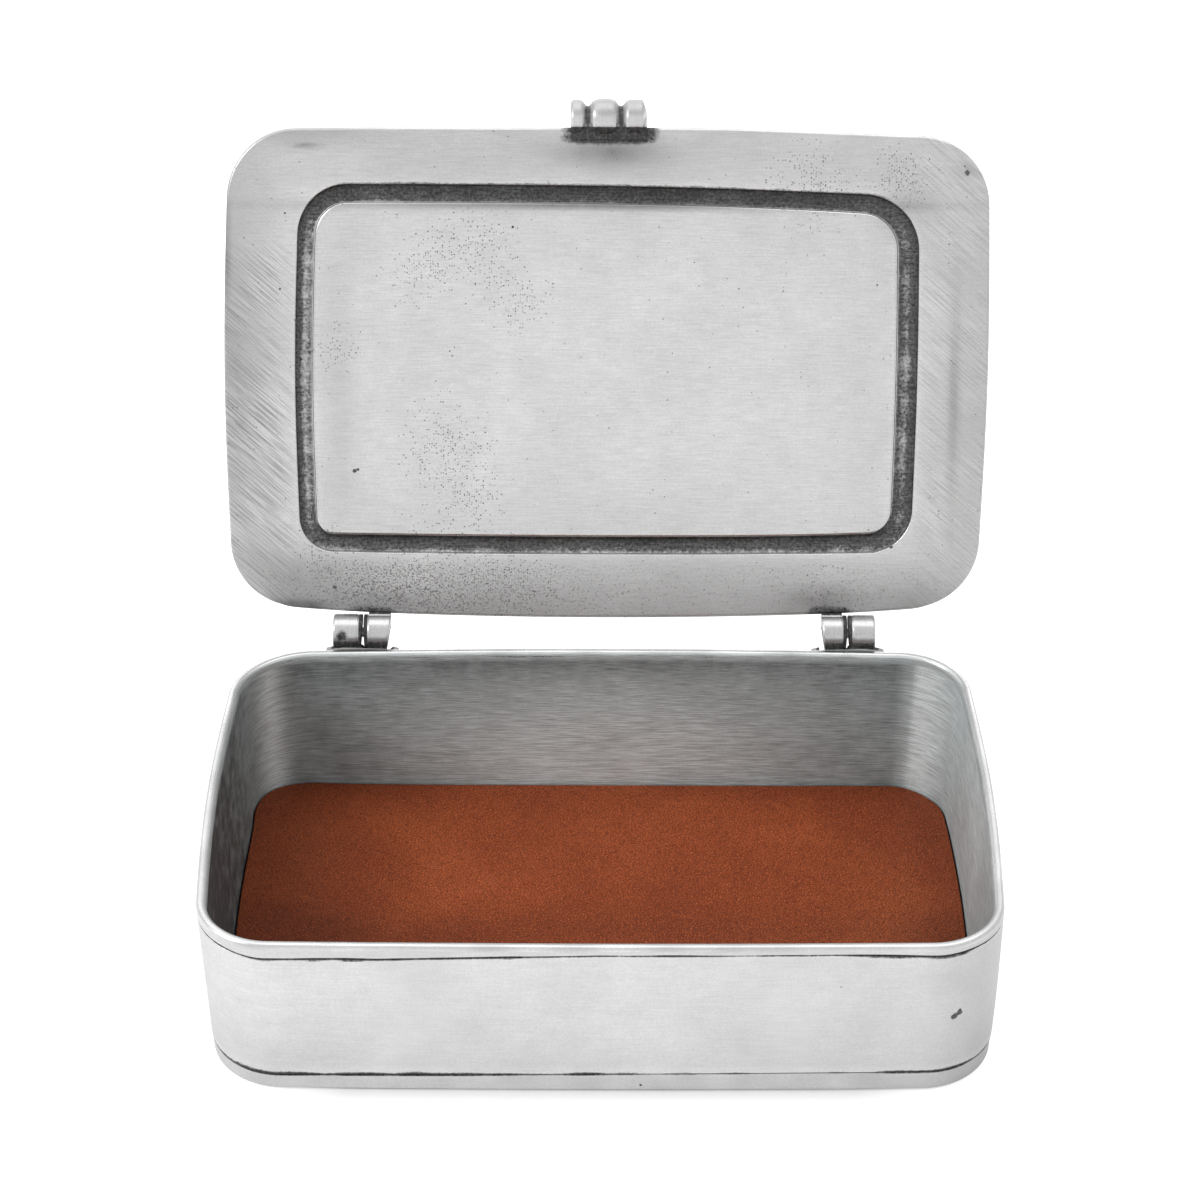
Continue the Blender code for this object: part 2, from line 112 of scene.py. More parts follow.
# %% Helpers for node networks
class Network:
    """A material's nodes, with short words for the kinds that the finishes use."""

    def __init__(self, tree):
        self.tree = tree

    def feed(self, node, values):
        """Give a node's inputs plain values, or link them to the sockets of other nodes."""
        for key, value in values.items():
            if isinstance(value, bpy.types.NodeSocket):
                self.tree.links.new(value, node.inputs[key])
            else:
                node.inputs[key].default_value = value

    def node(self, kind, values=None, **settings):
        """Add a node, set its properties and feed its inputs."""
        made = self.tree.nodes.new(kind)
        for name, value in settings.items():
            setattr(made, name, value)
        self.feed(made, values or {})
        return made

    def place(self):
        """The point on the surface, in the piece's own metres."""
        return self.node("ShaderNodeTexCoord").outputs["Object"]

    def mark(self, name):
        """A value that was stored on the mesh, such as where dirt gathers."""
        return self.node("ShaderNodeAttribute", attribute_name=name).outputs["Fac"]

    def vector(self, operation, *values):
        """One step of arithmetic with vectors."""
        return self.node("ShaderNodeVectorMath", dict(enumerate(values)), operation=operation).outputs

    def stretch(self, vector, scale, turn=(0, 0, 0)):
        """Turn and stretch a vector."""
        turned = self.node("ShaderNodeMapping", {"Vector": vector, "Rotation": turn}).outputs["Vector"]
        return self.vector("MULTIPLY", turned, scale)["Vector"]

    def noise(self, vector, per_metre=1, detail=2, roughness=0.5, distortion=0, output="Fac"):
        """Soft random values from 0 to 1, with so many waves to the metre."""
        return self.node("ShaderNodeTexNoise", {
            "Vector": vector, "Scale": per_metre, "Detail": detail, "Roughness": roughness,
            "Distortion": distortion
        }).outputs[output]

    def cells(self, vector, per_metre, **settings):
        """A pattern of cells, with so many to the metre."""
        return self.node("ShaderNodeTexVoronoi", {"Vector": vector, "Scale": per_metre}, **settings).outputs

    def remap(self, value, low, high, new_low=0, new_high=1):
        """Turn values from low to high into new ones, and hold them at the ends."""
        return self.node("ShaderNodeMapRange", {
            "Value": value, "From Min": low, "From Max": high, "To Min": new_low, "To Max": new_high
        }).outputs["Result"]

    def spread(self, noise_value, low, high):
        """Turn a noise, whose values mostly lie between these two shares, into values from low to high."""
        return self.remap(noise_value, 0.3, 0.7, low, high)

    def fade(self, value, end):
        """1 where a value is 0, and so much where it is 1."""
        return self.remap(value, 0, 1, 1, end)

    def sum(self, operation, *values):
        """One step of arithmetic."""
        return self.node("ShaderNodeMath", dict(enumerate(values)), operation=operation).outputs["Value"]

    def times(self, first, *others):
        """The product of some values."""
        for other in others:
            first = self.sum("MULTIPLY", first, other)
        return first

    def plus(self, base, value, share=1):
        """A value, or a share of it, on top of a base."""
        return self.sum("MULTIPLY_ADD", value, share, base)

    def minus(self, first, second):
        """What is left of the first value without the second."""
        return self.sum("SUBTRACT", first, second)

    def blend(self, share, first, second):
        """The first value where a share is 0 and the second where it is 1."""
        return self.plus(self.times(first, self.minus(1, share)), second, share)

    def mix(self, share, first, second):
        """The first colour where a share is 0 and the second where it is 1."""
        return self.node("ShaderNodeMix", {0: share, 6: first, 7: second}, data_type="RGBA").outputs[2]

    def grey(self, value):
        """A grey from a value."""
        values = dict.fromkeys(("Red", "Green", "Blue"), value)
        return self.node("ShaderNodeCombineColor", values).outputs["Color"]

    def nearness(self, vector, centre, reach):
        """1 at a place, falling to 0 at reach from it."""
        return self.remap(self.vector("DISTANCE", vector, centre)["Value"], 0, reach, 1, 0)

    def relief(self, *layers):
        """Stack layers of relief. Each has heights from 0 to 1 and a depth in metres."""
        normal = {}
        for height, depth in layers:
            made = self.node("ShaderNodeBump", {"Height": height, "Distance": depth, **normal})
            normal = {"Normal": made.outputs["Normal"]}
        return normal["Normal"]


def new_finish(name):
    """Return a new material, its network and its shader."""
    material = bpy.data.materials.new(name)
    material.use_nodes = True
    shader = material.node_tree.nodes["Principled BSDF"]
    return material, Network(material.node_tree), shader


print("helpers ready")

# %% [markdown]
# ## Light and ground
# A soft white studio. The world lights the box from all round. A wide lamp overhead and one high behind the
# box give rims and barrels their bright line, a softer one on the left makes the left inner wall darker
# than the right one, and a faint wide one low in front brightens the middle of the open lid. Together they
# light a level surface at about the strength where a colour renders as it is written.
#
# The ground is a pale sheet. For rays that come from the camera it is lifted to white, and a little for
# rays that come from a gloss, so the background is clean and the metal mirrors it. Close to the box it is
# lifted less, so the soft shadow under it stays. That shadow fades towards the box's two ends, as it does
# in the photograph.

# %% Make the world, the lamps and the ground
world_level = 0.58
mirrored_level = 0.88
ground_colour = (0.8, 0.8, 0.8, 1)
ground_lift = 0.72
contact_lift = 0.05
contact_reach = 9 * MM
contact_full_share = 0.35
contact_samples = 8
mirrored_lift = 0.33
shadow_ends = (50 * MM, 74 * MM)
ground_side = 6
white = (1, 1, 1, 1)
# Each lamp's place, what it looks at, its two sides and how bright its face is.
lamps = {
    "overhead_lamp": ((0, 0.4, 1.28), (0, 0.06, 0), (1.55, 1.25), 0.95),
    "rear_lamp": ((0, 1.7, 0.75), (0, 0.06, 0.08), (2.2, 0.8), 0.85),
    "left_lamp": ((-1.5, -0.5, 1.2), (0, 0, 0), (0.9, 0.9), 4.4),
    "front_lamp": ((0, -2.5, 0.6), (0, 0.06, 0.08), (1.7, 0.6), 0.22)
}


def light_path_level(net, plain, mirrored, seen):
    """A strength that differs between plain light, reflections and what the camera sees directly."""
    path = net.node("ShaderNodeLightPath").outputs
    level = net.remap(path["Is Glossy Ray"], 0, 1, plain, mirrored)
    direct = net.sum("MAXIMUM", path["Is Camera Ray"], path["Is Transmission Ray"])
    return net.blend(direct, level, seen)


def make_world():
    """A white world, dimmer as a light than as a background."""
    world = bpy.data.worlds.new("studio")
    world.use_nodes = True
    bpy.context.scene.world = world
    net = Network(world.node_tree)
    level = light_path_level(net, world_level, mirrored_level, 1)
    net.feed(world.node_tree.nodes["Background"], {"Color": white, "Strength": level})


def make_ground():
    """A pale sheet that keeps the box's soft shadow."""
    bpy.ops.mesh.primitive_plane_add(size=ground_side, location=(0, 0, 0))
    ground = bpy.context.active_object
    ground.name = "ground"
    material, net, shader = new_finish("pale_ground")
    nearby = net.node("ShaderNodeAmbientOcclusion", {"Distance": contact_reach}, samples=contact_samples)
    across = net.node("ShaderNodeSeparateXYZ", {"Vector": net.place()}).outputs["X"]
    darkest = net.remap(net.sum("ABSOLUTE", across), *shadow_ends, contact_lift, ground_lift)
    lift = net.remap(nearby.outputs["AO"], contact_full_share, 1, darkest, ground_lift)
    net.feed(shader, {
        "Base Color": ground_colour, "Roughness": 1, "Specular IOR Level": 0, "Emission Color": white,
        "Emission Strength": light_path_level(net, 0, mirrored_lift, lift)
    })
    ground.data.materials.append(material)


def make_lamp(name, place, target, size, radiance):
    """A wide soft lamp that looks at a place. Its power follows from its size and how bright its face is."""
    data = bpy.data.lights.new(name, "AREA")
    data.shape = "RECTANGLE"
    data.size, data.size_y = size
    data.energy = math.pi * size[0] * size[1] * radiance
    lamp = bpy.data.objects.new(name, data)
    lamp.location = place
    lamp.rotation_euler = (Vector(target) - Vector(place)).to_track_quat("-Z", "Y").to_euler()
    bpy.context.scene.collection.objects.link(lamp)
    print(name, "watts:", round(data.energy, 1))


make_world()
make_ground()
for name, settings in lamps.items():
    make_lamp(name, *settings)

# %% [markdown]
# ## The plan that every piece follows
# Walls, tray, pad and lid all follow one kind of outline: an oblong with round corners whose sides swell a
# little, as a bent band does. One function gives the points of such an outline and the outward direction at
# each. A ring is that outline moved outwards or inwards by some distance, at some height.

# %% Helpers for outlines and rings
corner_steps = 22
side_steps = 96
few_steps, some_steps, lip_steps, round_steps = 4, 5, 6, 7


def bowed_outline(width, depth, radii, bows):
    """Return the points of the plan, counter-clockwise, and the outward direction at each.

    radii holds the four corners' radii from front right to front left, and bows how far the right, rear, left
    and front sides swell.
    """
    halves = (width / 2 - bows[0], depth / 2 - bows[1], width / 2 - bows[2], depth / 2 - bows[3])
    corners = ((0, 3), (0, 1), (2, 1), (2, 3))
    signs = (1, 1, -1, -1)
    quarter = math.pi / 2
    arcs = []
    for index, (across, along) in enumerate(corners):
        centre = np.array([signs[side] * (halves[side] - radii[index]) for side in (across, along)])
        angles = quarter * (index - 1 + np.arange(corner_steps + 1) / corner_steps)
        arcs.append(centre + radii[index] * np.column_stack((np.cos(angles), np.sin(angles))))
    along = np.arange(1, side_steps)[:, None] / side_steps
    stretches = []
    for index, arc_points in enumerate(arcs):
        start, end = arc_points[-1], arcs[(index + 1) % len(arcs)][0]
        outward = np.array((math.cos(quarter * index), math.sin(quarter * index)))
        bow = outward * bows[index] * np.sin(math.pi * along)
        stretches += [arc_points, start + (end - start) * along + bow]
    points = np.concatenate(stretches)
    tangent = np.roll(points, -1, axis=0) - np.roll(points, 1, axis=0)
    tangent /= np.linalg.norm(tangent, axis=1)[:, None]
    return points, np.column_stack((tangent[:, 1], -tangent[:, 0]))


def ring(outline, grow, height):
    """Return the outline moved outwards by grow, at a height. Both may vary from point to point."""
    points, outward = outline
    count = len(points)
    flat = points + outward * np.broadcast_to(grow, count)[:, None]
    return np.column_stack((flat, np.broadcast_to(height, count)))


def between(first, second, steps):
    """Return rings that lead from one ring towards another, without either end."""
    return [first + (second - first) * share for share in np.arange(1, steps) / steps]


def to_centre(outer, steps):
    """Return rings that shrink from a ring towards its middle, the outermost first."""
    middle = outer.mean(axis=0)
    return [middle + (outer - middle) * share for share in 1 - np.arange(1, steps + 1) / (steps + 1)]


def arc(centre, radius, start, end, steps):
    """Return points (across, height) along an arc, with angles in degrees from outwards to up."""
    angles = np.radians(np.linspace(start, end, steps + 1))
    return [(centre[0] + radius * math.cos(a), centre[1] + radius * math.sin(a)) for a in angles]


print("points of an outline:", 4 * (corner_steps + side_steps))

# %% [markdown]
# Rings laid side by side and skinned with quads make every large piece, so edges, lines and hollows are
# true shapes. The skin also stores the marks that the finishes read, such as where dirt gathers.

# %% Helper for skins


def skin(name, rings, marks=None, tube=False):
    """Skin rings with quads. A tube joins its last ring to its first; otherwise both ends are closed.

    marks holds, for each mark's name, one value or array for each ring.
    """
    count = len(rings[0])
    faces = []
    for row in range(len(rings) if tube else len(rings) - 1):
        low, high = row * count, (row + 1) % len(rings) * count
        for step in range(count):
            after = (step + 1) % count
            faces.append((low + step, low + after, high + after, high + step))
    if not tube:
        faces.append(tuple(reversed(range(count))))
        faces.append(tuple(range((len(rings) - 1) * count, len(rings) * count)))
    mesh = bpy.data.meshes.new(name)
    mesh.from_pydata(np.concatenate(rings).tolist(), [], faces)
    for mark_name, values in (marks or {}).items():
        stored = mesh.attributes.new(mark_name, "FLOAT", "POINT")
        every_point = np.concatenate([np.broadcast_to(value, count) for value in values])
        stored.data.foreach_set("value", every_point.astype(np.float32))
    mesh.shade_smooth()
    piece = bpy.data.objects.new(name, mesh)
    bpy.context.scene.collection.objects.link(piece)
    return piece


print("skins are ready")

# %% [markdown]
# Handwork is uneven, softly and never twice in the same way. So each unevenness has a wave length and a
# place of its own in one field of random values. Where the photograph shows what the hand did, a table of
# stops or a few soft spots say so.

# %% Helpers for uneven handwork
waves = {
    "wall_ends": (21 * MM, 5), "wall_sides": (19 * MM, 9), "line": (45 * MM, 3), "hand": (6 * MM, 6),
    "seam": (6 * MM, 12), "rubbing": (9 * MM, 41), "rim_dirt": (12 * MM, 21), "tray_sides": (17 * MM, 14),
    "smudges": (4 * MM, 51), "tray_film": (5 * MM, 44), "leather": (15 * MM, 2), "groove": (14 * MM, 31),
    "lid": (24 * MM, 11)
}


def wander(points, wave):
    """Return a soft random value from -1 to 1 for each point."""
    length, seed = waves[wave]
    shift = Vector((seed, seed, seed))
    return np.array([noise.noise(Vector(point) / length + shift) for point in points])


def by_stops(places, table):
    """Read a table of (place, value) stops at some places, with straight lines between the stops."""
    return np.interp(places, *zip(*table))


def bell(distance, reach, power=2):
    """1 at no distance, falling softly towards 0 beyond reach."""
    return np.exp(-(distance / reach) ** power)


def spot(row, centre, reach):
    """1 at a place of the plan, falling softly to 0 round it. Place and reach are in millimetres."""
    reach_x, reach_y = np.broadcast_to(reach, 2)
    return bell(row[:, 0] / MM - centre[0], reach_x) * bell(row[:, 1] / MM - centre[1], reach_y)


def ramp(value, start, length):
    """0 up to a start, rising to 1 over a length."""
    return np.clip((value - start) / length, 0, 1)


print("kinds of unevenness:", len(waves))

# %% [markdown]
# The measured walls give the outline that walls, tray and pad share. Their rear left corner is a little
# rounder than the others. Every piece is dressed in the same way too: it gets a material, rides on the box
# or on the lid, and hides the measured node that it stands for.

# %% Outline the box
def dress(piece, material, body, slot, *nodes):
    """Give a piece its material, let it ride on a body and hide the measured nodes that it stands for."""
    piece.data.materials.append(material)
    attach(piece, body)
    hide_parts(*nodes)
    print(piece.name, "faces:", len(piece.data.polygons))


wall_low, wall_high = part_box("wall_frame")
box_width = wall_high.x - wall_low.x
box_depth = wall_high.y - wall_low.y
corner_radius = 15.2 * MM
rear_left_radius = 17.4 * MM
corner_radii = (corner_radius, corner_radius, rear_left_radius, corner_radius)
front_bow = 0.5 * MM
side_bow = 1.2 * MM
box_outline = bowed_outline(box_width, box_depth, corner_radii, (side_bow, front_bow, side_bow, front_bow))
box_plan = ring(box_outline, 0, 0)
print("walls, mm:", round(box_width / MM, 1), "by", round(box_depth / MM, 1))

# %% [markdown]
# ## Pewter
# Pewter is a soft grey metal. Here it is brushed by hand along its length, and on the lid's ends a file
# crossed the brush lines. Noise that is stretched along the stroke gives such lines. A mark on the mesh,
# hatch, says where the file went.

# %% Brush and file the metal
brush_waves_along = 170
brush_waves_across = 3000
hatch_waves_along = 100
hatch_waves_across = 3000
hatch_turn = math.radians(-41)
# From two values of the noise to two tones.
hatch_tones = (0.36, 0.58, 0.56, 1.13)


def brushed(net, place, across_axes):
    """Fine lines as a brush leaves them: long waves along the stroke and short ones across it."""
    scale = [brush_waves_across if axis in across_axes else brush_waves_along for axis in "XYZ"]
    return net.noise(net.stretch(place, scale), detail=3, roughness=0.7)


def filed_across(net, place, clouds, lines):
    """The brush lines, with coarser ones that cross them where the plate was filed."""
    crossing = net.stretch(place, (hatch_waves_along, hatch_waves_across, 1), turn=(0, 0, hatch_turn))
    filed = net.remap(net.noise(crossing, detail=2, roughness=0.6), *hatch_tones)
    share = net.times(net.mark("hatch"), net.remap(clouds, 0.35, 0.6, 0.4, 1))
    return net.blend(share, lines, filed)


print("brush lines to the millimetre:", brush_waves_across * MM)

# %% [markdown]
# The metal is blackened with a patina that was wiped off again and stays in lines, hollows and pits. Two
# marks say where: patina, the black that gathers in lines and joints, which on the sunk frame, the knuckles
# and the thumb piece also carries painted shade, and grit, where the casting is finely pitted all over.
# Noise breaks up the edge of each, as wiping does. Single pits come from a pattern of cells.

# %% Blacken lines and pits
grit_waves = 2100
pit_cells = 2000
lone_pit_share = 0.005
crowded_pit_share = 0.42
pit_sizes = (0.16, 0.34)
pit_depths = (0.4, 0.95)


def casting_pits(net, place, clusters):
    """1 in the small pits of a cast plate. They crowd together near the clusters' centres."""
    cells = net.cells(place, pit_cells, feature="F1", voronoi_dimensions="2D")
    draw = net.node("ShaderNodeSeparateColor", {"Color": cells["Color"]}).outputs
    crowding = lone_pit_share
    for centre, reach in clusters:
        near = net.sum("POWER", net.nearness(place, centre, reach), 1.3)
        crowding = net.plus(crowding, near, crowded_pit_share)
    chosen = net.sum("LESS_THAN", draw["Red"], crowding)
    hole = net.sum("LESS_THAN", cells["Distance"], net.remap(draw["Green"], 0, 1, *pit_sizes))
    return net.times(chosen, hole, net.remap(draw["Blue"], 0, 1, *pit_depths))


def pewter_dirt(net, place, edge, speckle, clusters, pits):
    """1 where the metal is black: in lines and joints, in the pits of the casting and in lone pits."""
    dirt = net.remap(edge, -0.12, 0.2)
    if clusters:
        rough = net.plus(net.noise(place, grit_waves, detail=2, roughness=0.8), net.mark("grit"), 0.22)
        for black in (casting_pits(net, place, clusters), net.remap(rough, 0.72, 0.86, 0, 0.8)):
            dirt = net.sum("MAXIMUM", dirt, black)
    for centre, radius in pits:
        ragged = net.plus(net.nearness(place, centre, radius * 2), speckle, 0.9)
        dirt = net.sum("MAXIMUM", dirt, net.remap(ragged, 0.92, 1.02))
    return dirt


print("cells that can hold a pit, to the millimetre:", pit_cells * MM)

# %% [markdown]
# One function makes the metal, so walls and lid are clearly the same. It is cloudy where the brush pressed
# more or less. Three more marks change it: film is the thin grey haze that wiping leaves, and on several
# pieces also painted shade that darkens the colour; matt is the inside that was never polished; and polish
# is where rims and knuckles are rubbed bright. The matt inside is a cool grey, which offsets the red that
# the leather throws on it.

# %% Make pewter
patina_dark = 0.02
patina_worn = 0.22
cloud_waves = 55
mottle_waves = 260
grain_waves = 2300
broken_waves = 230
speckle_waves = 1500
scratch_waves_along = 200
scratch_waves_across = 8500
mottle_tones = (0.95, 1.035)
grain_tones = (0.9, 1.06)
matt_lift = 1.2
matt_tint = (0.925, 1.04, 1.055, 1)
# From two values of a noise to two tones.
scratch_tones = (0.36, 0.64, 0.62, 1.26)
haze_tones = (0, 1.35, 1, 0.06)
streak_relief, mottle_relief, dirt_relief = 0.01 * MM, 0.03 * MM, 0.06 * MM


def make_pewter(name, across_axes, roughness=0.32, tone=0.76, contrast=0.1, clusters=(), pits=(),
                hatched=False):
    """Brushed and cloudy pewter. across_axes are the piece's own axes that cross the brush lines."""
    material, net, shader = new_finish(name)
    place = net.place()
    matt = net.mark("matt")
    clouds = net.noise(place, cloud_waves, detail=3, distortion=0.4)
    mottles = net.noise(place, mottle_waves, detail=4, roughness=0.6)
    grain = net.noise(place, grain_waves, detail=3, roughness=0.8)
    broken = net.noise(place, broken_waves, detail=5, roughness=0.7)
    speckle = net.noise(place, speckle_waves, detail=3, roughness=0.75)
    streaks = brushed(net, place, across_axes)
    lines = net.spread(streaks, 1 - contrast, 1 + contrast * 0.85)
    if hatched:
        lines = filed_across(net, place, clouds, lines)
    scratches = net.stretch(place, (scratch_waves_along, scratch_waves_along, scratch_waves_across))
    scratched = net.remap(net.noise(scratches, detail=2, roughness=0.6), *scratch_tones)
    dulled = net.plus(1, matt, net.minus(scratched, 1))
    haze_noise = net.plus(net.plus(0.42, streaks, 0.45), mottles, 0.7)
    # The film mark, read here as haze, is wiping haze and on several pieces painted shade: it darkens the
    # colour and lessens the shine.
    haze = net.times(net.mark("film"), haze_noise)
    light = net.times(
        net.spread(clouds, tone * 0.93, tone * 1.05), lines, dulled, net.fade(matt, matt_lift),
        net.spread(mottles, *mottle_tones), net.spread(grain, *grain_tones),
        net.remap(haze, *haze_tones)
    )
    crumbs = net.plus(net.times(broken, 0.65), speckle, 0.55)
    edge = net.minus(net.times(net.mark("patina"), 1.25), crumbs)
    dirt = pewter_dirt(net, place, edge, speckle, clusters, pits)
    rubbed = net.plus(net.times(streaks, 0.4), speckle, 0.6)
    worn = net.remap(rubbed, 0.38, 0.66, patina_dark, patina_worn)
    kept = net.times(net.remap(edge, 0.3, 0.75, 1, 0.2), worn)
    black = net.grey(net.sum("MAXIMUM", kept, patina_dark))
    tint = net.mix(matt, white, matt_tint)
    metal = net.vector("MULTIPLY", net.grey(light), tint)["Vector"]
    gloss = net.times(net.spread(clouds, roughness * 0.92, roughness * 1.12),
                          net.fade(net.mark("polish"), 0.6))
    gloss = net.plus(net.plus(gloss, haze, 0.15), matt, 0.2)
    net.feed(shader, {
        "Base Color": net.mix(dirt, metal, black),
        "Metallic": net.times(net.fade(haze, 0.35), net.fade(matt, 0.1), net.fade(dirt, 0.3)),
        "Roughness": net.sum("MAXIMUM", gloss, net.times(dirt, 0.5)),
        "Normal": net.relief((streaks, streak_relief), (mottles, mottle_relief),
                                 (net.minus(1, dirt), dirt_relief))
    })
    return material


print("patina reflects from", patina_dark, "to", patina_worn, "of the light")

# %% [markdown]
# ## Walls
# The walls are one band, soldered on the tray, and one section swept round the outline makes them. The band
# is thicker at the foot than at the rim, as a casting is. Both ends lean out a little from foot to rim, the
# left one most, which no hand-made box avoids. The foot is thinner there and has its own thickness at both
# rear corners. A rule that moves rings after they are drawn keeps all this out of the section.

# %% Lean and thicken the band
rim_height = wall_high.z
foot_thickness = 4.1 * MM
left_foot_thinning = 1.3 * MM
right_foot_thinning = 0.9 * MM
# These places and changes are in millimetres.
rear_corner_changes = ((-75, -0.8), (75, 0.8))
left_corner_x = -75
rear_corner_y = 46
rear_corner_reach = 9
left_corner_push = 0.9 * MM
left_lean = 1.65 * MM
left_overhang = 0.45 * MM
right_lean = 0.8 * MM
rear_bulge = 0.8 * MM


def foot_thickness_round():
    """Return how thick the walls are at their foot: less at both ends, and least at the rear left."""
    across, along = 2 * box_plan[:, 0] / box_width, 2 * box_plan[:, 1] / box_depth
    left = left_foot_thinning * np.clip(-across, 0, 1) ** 2.5 * (1 + 0.5 * along)
    right = right_foot_thinning * np.clip(across, 0, 1) ** 3 * (1 + 0.4 * along)
    thickness = foot_thickness - left - right
    for x, change in rear_corner_changes:
        thickness += change * MM * spot(box_plan, (x, rear_corner_y), rear_corner_reach)
    return thickness


def lean(rows):
    """Lean the ends of rings in towards the foot, and swell the rear out towards the rim."""
    for row in rows:
        low = np.clip((rim_height - row[:, 2]) / rim_height, 0, 1)
        right_end = np.clip(2 * row[:, 0] / box_width, 0, 1)
        row[:, 0] += (left_lean * low - left_overhang) * np.clip(-2 * row[:, 0] / box_width, 0, 1)
        row[:, 0] -= right_lean * low ** 2.5 * right_end
        push = left_corner_push * low * spot(row, (left_corner_x, rear_corner_y), rear_corner_reach)
        row[:, 0] -= push
        row[:, 1] += push
        swell = np.clip(1 - (2 * row[:, 0] / box_width) ** 2, 0, 1) ** 1.5
        row[:, 1] += rear_bulge * (1 - low) * swell * np.clip(4 * row[:, 1] / box_depth - 1, 0, 1)
    return rows


foot_across = foot_thickness_round()
print("thickness at the foot, mm:", round(foot_across.min() / MM, 1), "to", round(foot_across.max() / MM, 1))

# %% [markdown]
# The scribed line below the rim was cut by hand: it wanders up and down, cuts deep in a few places and
# nearly fades in others. Each point of the outline gets its own section, so the line can follow tables of
# stops along the front, where the photograph shows it, and random values elsewhere.

# %% Run the scribed line
# Tables of places along the front, in millimetres, and what holds there.
line_drops = ((-80, 2.2), (-73, 2.5), (-66, 3.1), (-50, 2.75), (-43, 2.85), (-33, 2.5), (-18, 2.05), (0, 1.6),
              (20, 1.6), (45, 1.5), (55, 1.65), (66, 2), (73, 1.7), (80, 2.1))
line_cuts = ((-51, 5), (-33, 6), (-20, 5), (14, 4), (54, 5), (67, 4))
line_strengths = ((-78, 0.45), (-70, 0.75), (-58, 0.8), (-25, 0.75), (-10, 0.4), (25, 0.25), (42, 0.4),
                  (50, 0.75), (70, 0.8), (78, 0.5))
line_drop = 2.3 * MM
line_wander = 0.5 * MM


def front_share(points):
    """Return 1 on the front of the outline and 0 on the rest."""
    return ramp(-points[:, 1], box_depth / 2 - corner_radius, corner_radius)


def scribed_line():
    """Return how far the line lies below the rim and how deep it is cut, at each point of the outline."""
    places = box_plan[:, 0] / MM
    front = front_share(box_plan)
    elsewhere = line_drop + line_wander * wander(box_plan, "line")
    drop = front * by_stops(places, line_drops) * MM + (1 - front) * elsewhere
    cuts = np.clip(sum(bell(places - centre, reach, 4) for centre, reach in line_cuts), 0, 1)
    hand = np.clip(0.6 + 0.9 * wander(box_plan, "hand"), 0.15, 1)
    drawn = by_stops(places, line_strengths) * (0.6 + 0.6 * hand) + 0.5 * cuts * hand
    return drop, np.clip(front * drawn + (1 - front) * hand, 0, 1)


line_below, line_strength = scribed_line()
print("line below the rim, mm:", round(line_below.min() / MM, 1), "to", round(line_below.max() / MM, 1))

# %% [markdown]
# The joint of walls and tray runs unevenly too, lower on the left than on the right, and more black fills
# it at both ends. Both pieces follow the same two rules, so the joint stays closed.

# %% Shift and blacken the joint
wall_foot = wall_low.z
# Tables of places along the front, in millimetres: how far the joint shifts, and how black it is.
seam_shifts = ((-75, -0.7), (-60, -0.65), (-30, -0.35), (0, 0.05), (40, 0.35), (65, 0.45))
seam_blacks = ((-78, 0.8), (-70, 1), (-42, 0.95), (-25, 0.7), (5, 0.5), (30, 0.32), (45, 0.36), (60, 0.62),
               (75, 0.75))


def shift_seam(rows):
    """Let the joint of walls and tray run as it does on the front: lower on the left than on the right."""
    for row in rows:
        shift = by_stops(row[:, 0] / MM, seam_shifts) * MM * front_share(row)
        row[:, 2] += shift * np.clip(1 - np.abs(row[:, 2] - wall_foot) / wall_foot, 0, 1)
    return rows


def seam_dirt():
    """Return how much black fills the joint of walls and tray at each point of the outline."""
    black = np.where(box_plan[:, 1] < 0, by_stops(box_plan[:, 0] / MM, seam_blacks), 0.7)
    return np.clip(black * (1 + 0.5 * wander(box_plan, "seam")), 0.05, 1)


seam_black = seam_dirt()
print("black in the joint:", round(seam_black.min(), 2), "to", round(seam_black.max(), 2))

# %% [markdown]
# Wiping left haze outside, least on the left and most on the right end of the front and round the back;
# towards the right end of the front it is also painted shade. Inside, painted shade makes the left end dark,
# the right one light and the long walls lighter in their middle, and painted highlights brighten both rear
# corners. Stored as a mark, all this stays on its place when the box is turned.

# %% Haze the band
# Tables of places in millimetres, or shares of the height, and the haze and painted shade there.
# The front's haze grows towards the right end, where it is painted shade.
front_haze_and_shade = ((-78, 0), (-60, 0.08), (30, 0.1), (62, 0.16), (74, 0.36), (80, 0.28))
lit_band_by_height = ((0, 0.8), (0.15, 1), (0.5, 0.9), (0.8, 0.4), (0.95, 0))
left_end_shade = ((-48, 1.35), (-20, 1.4), (20, 1.2), (40, 0.95))
right_end_shade = ((-48, 0.8), (-30, 0.6), (0, 0.25), (40, 0.2))
lit_band_reach = 45
left_end_x = -74
right_end_x = 64
end_fade = 6
left_highlight_x = -71.3
left_highlight_reach = 2.6
left_highlight_share = 0.95
right_highlight_x = 66.6
right_highlight_lean = 0.8
right_highlight_width = 3
highlight_start_y = 36


def outer_haze_and_shade(row):
    """Return the haze outside, with painted shade towards the right end of the front: least on the left, most
    on the right end of the front and round the back.
    """
    front = front_share(row)
    return by_stops(row[:, 0] / MM, front_haze_and_shade) * front + 0.22 * (1 - front)


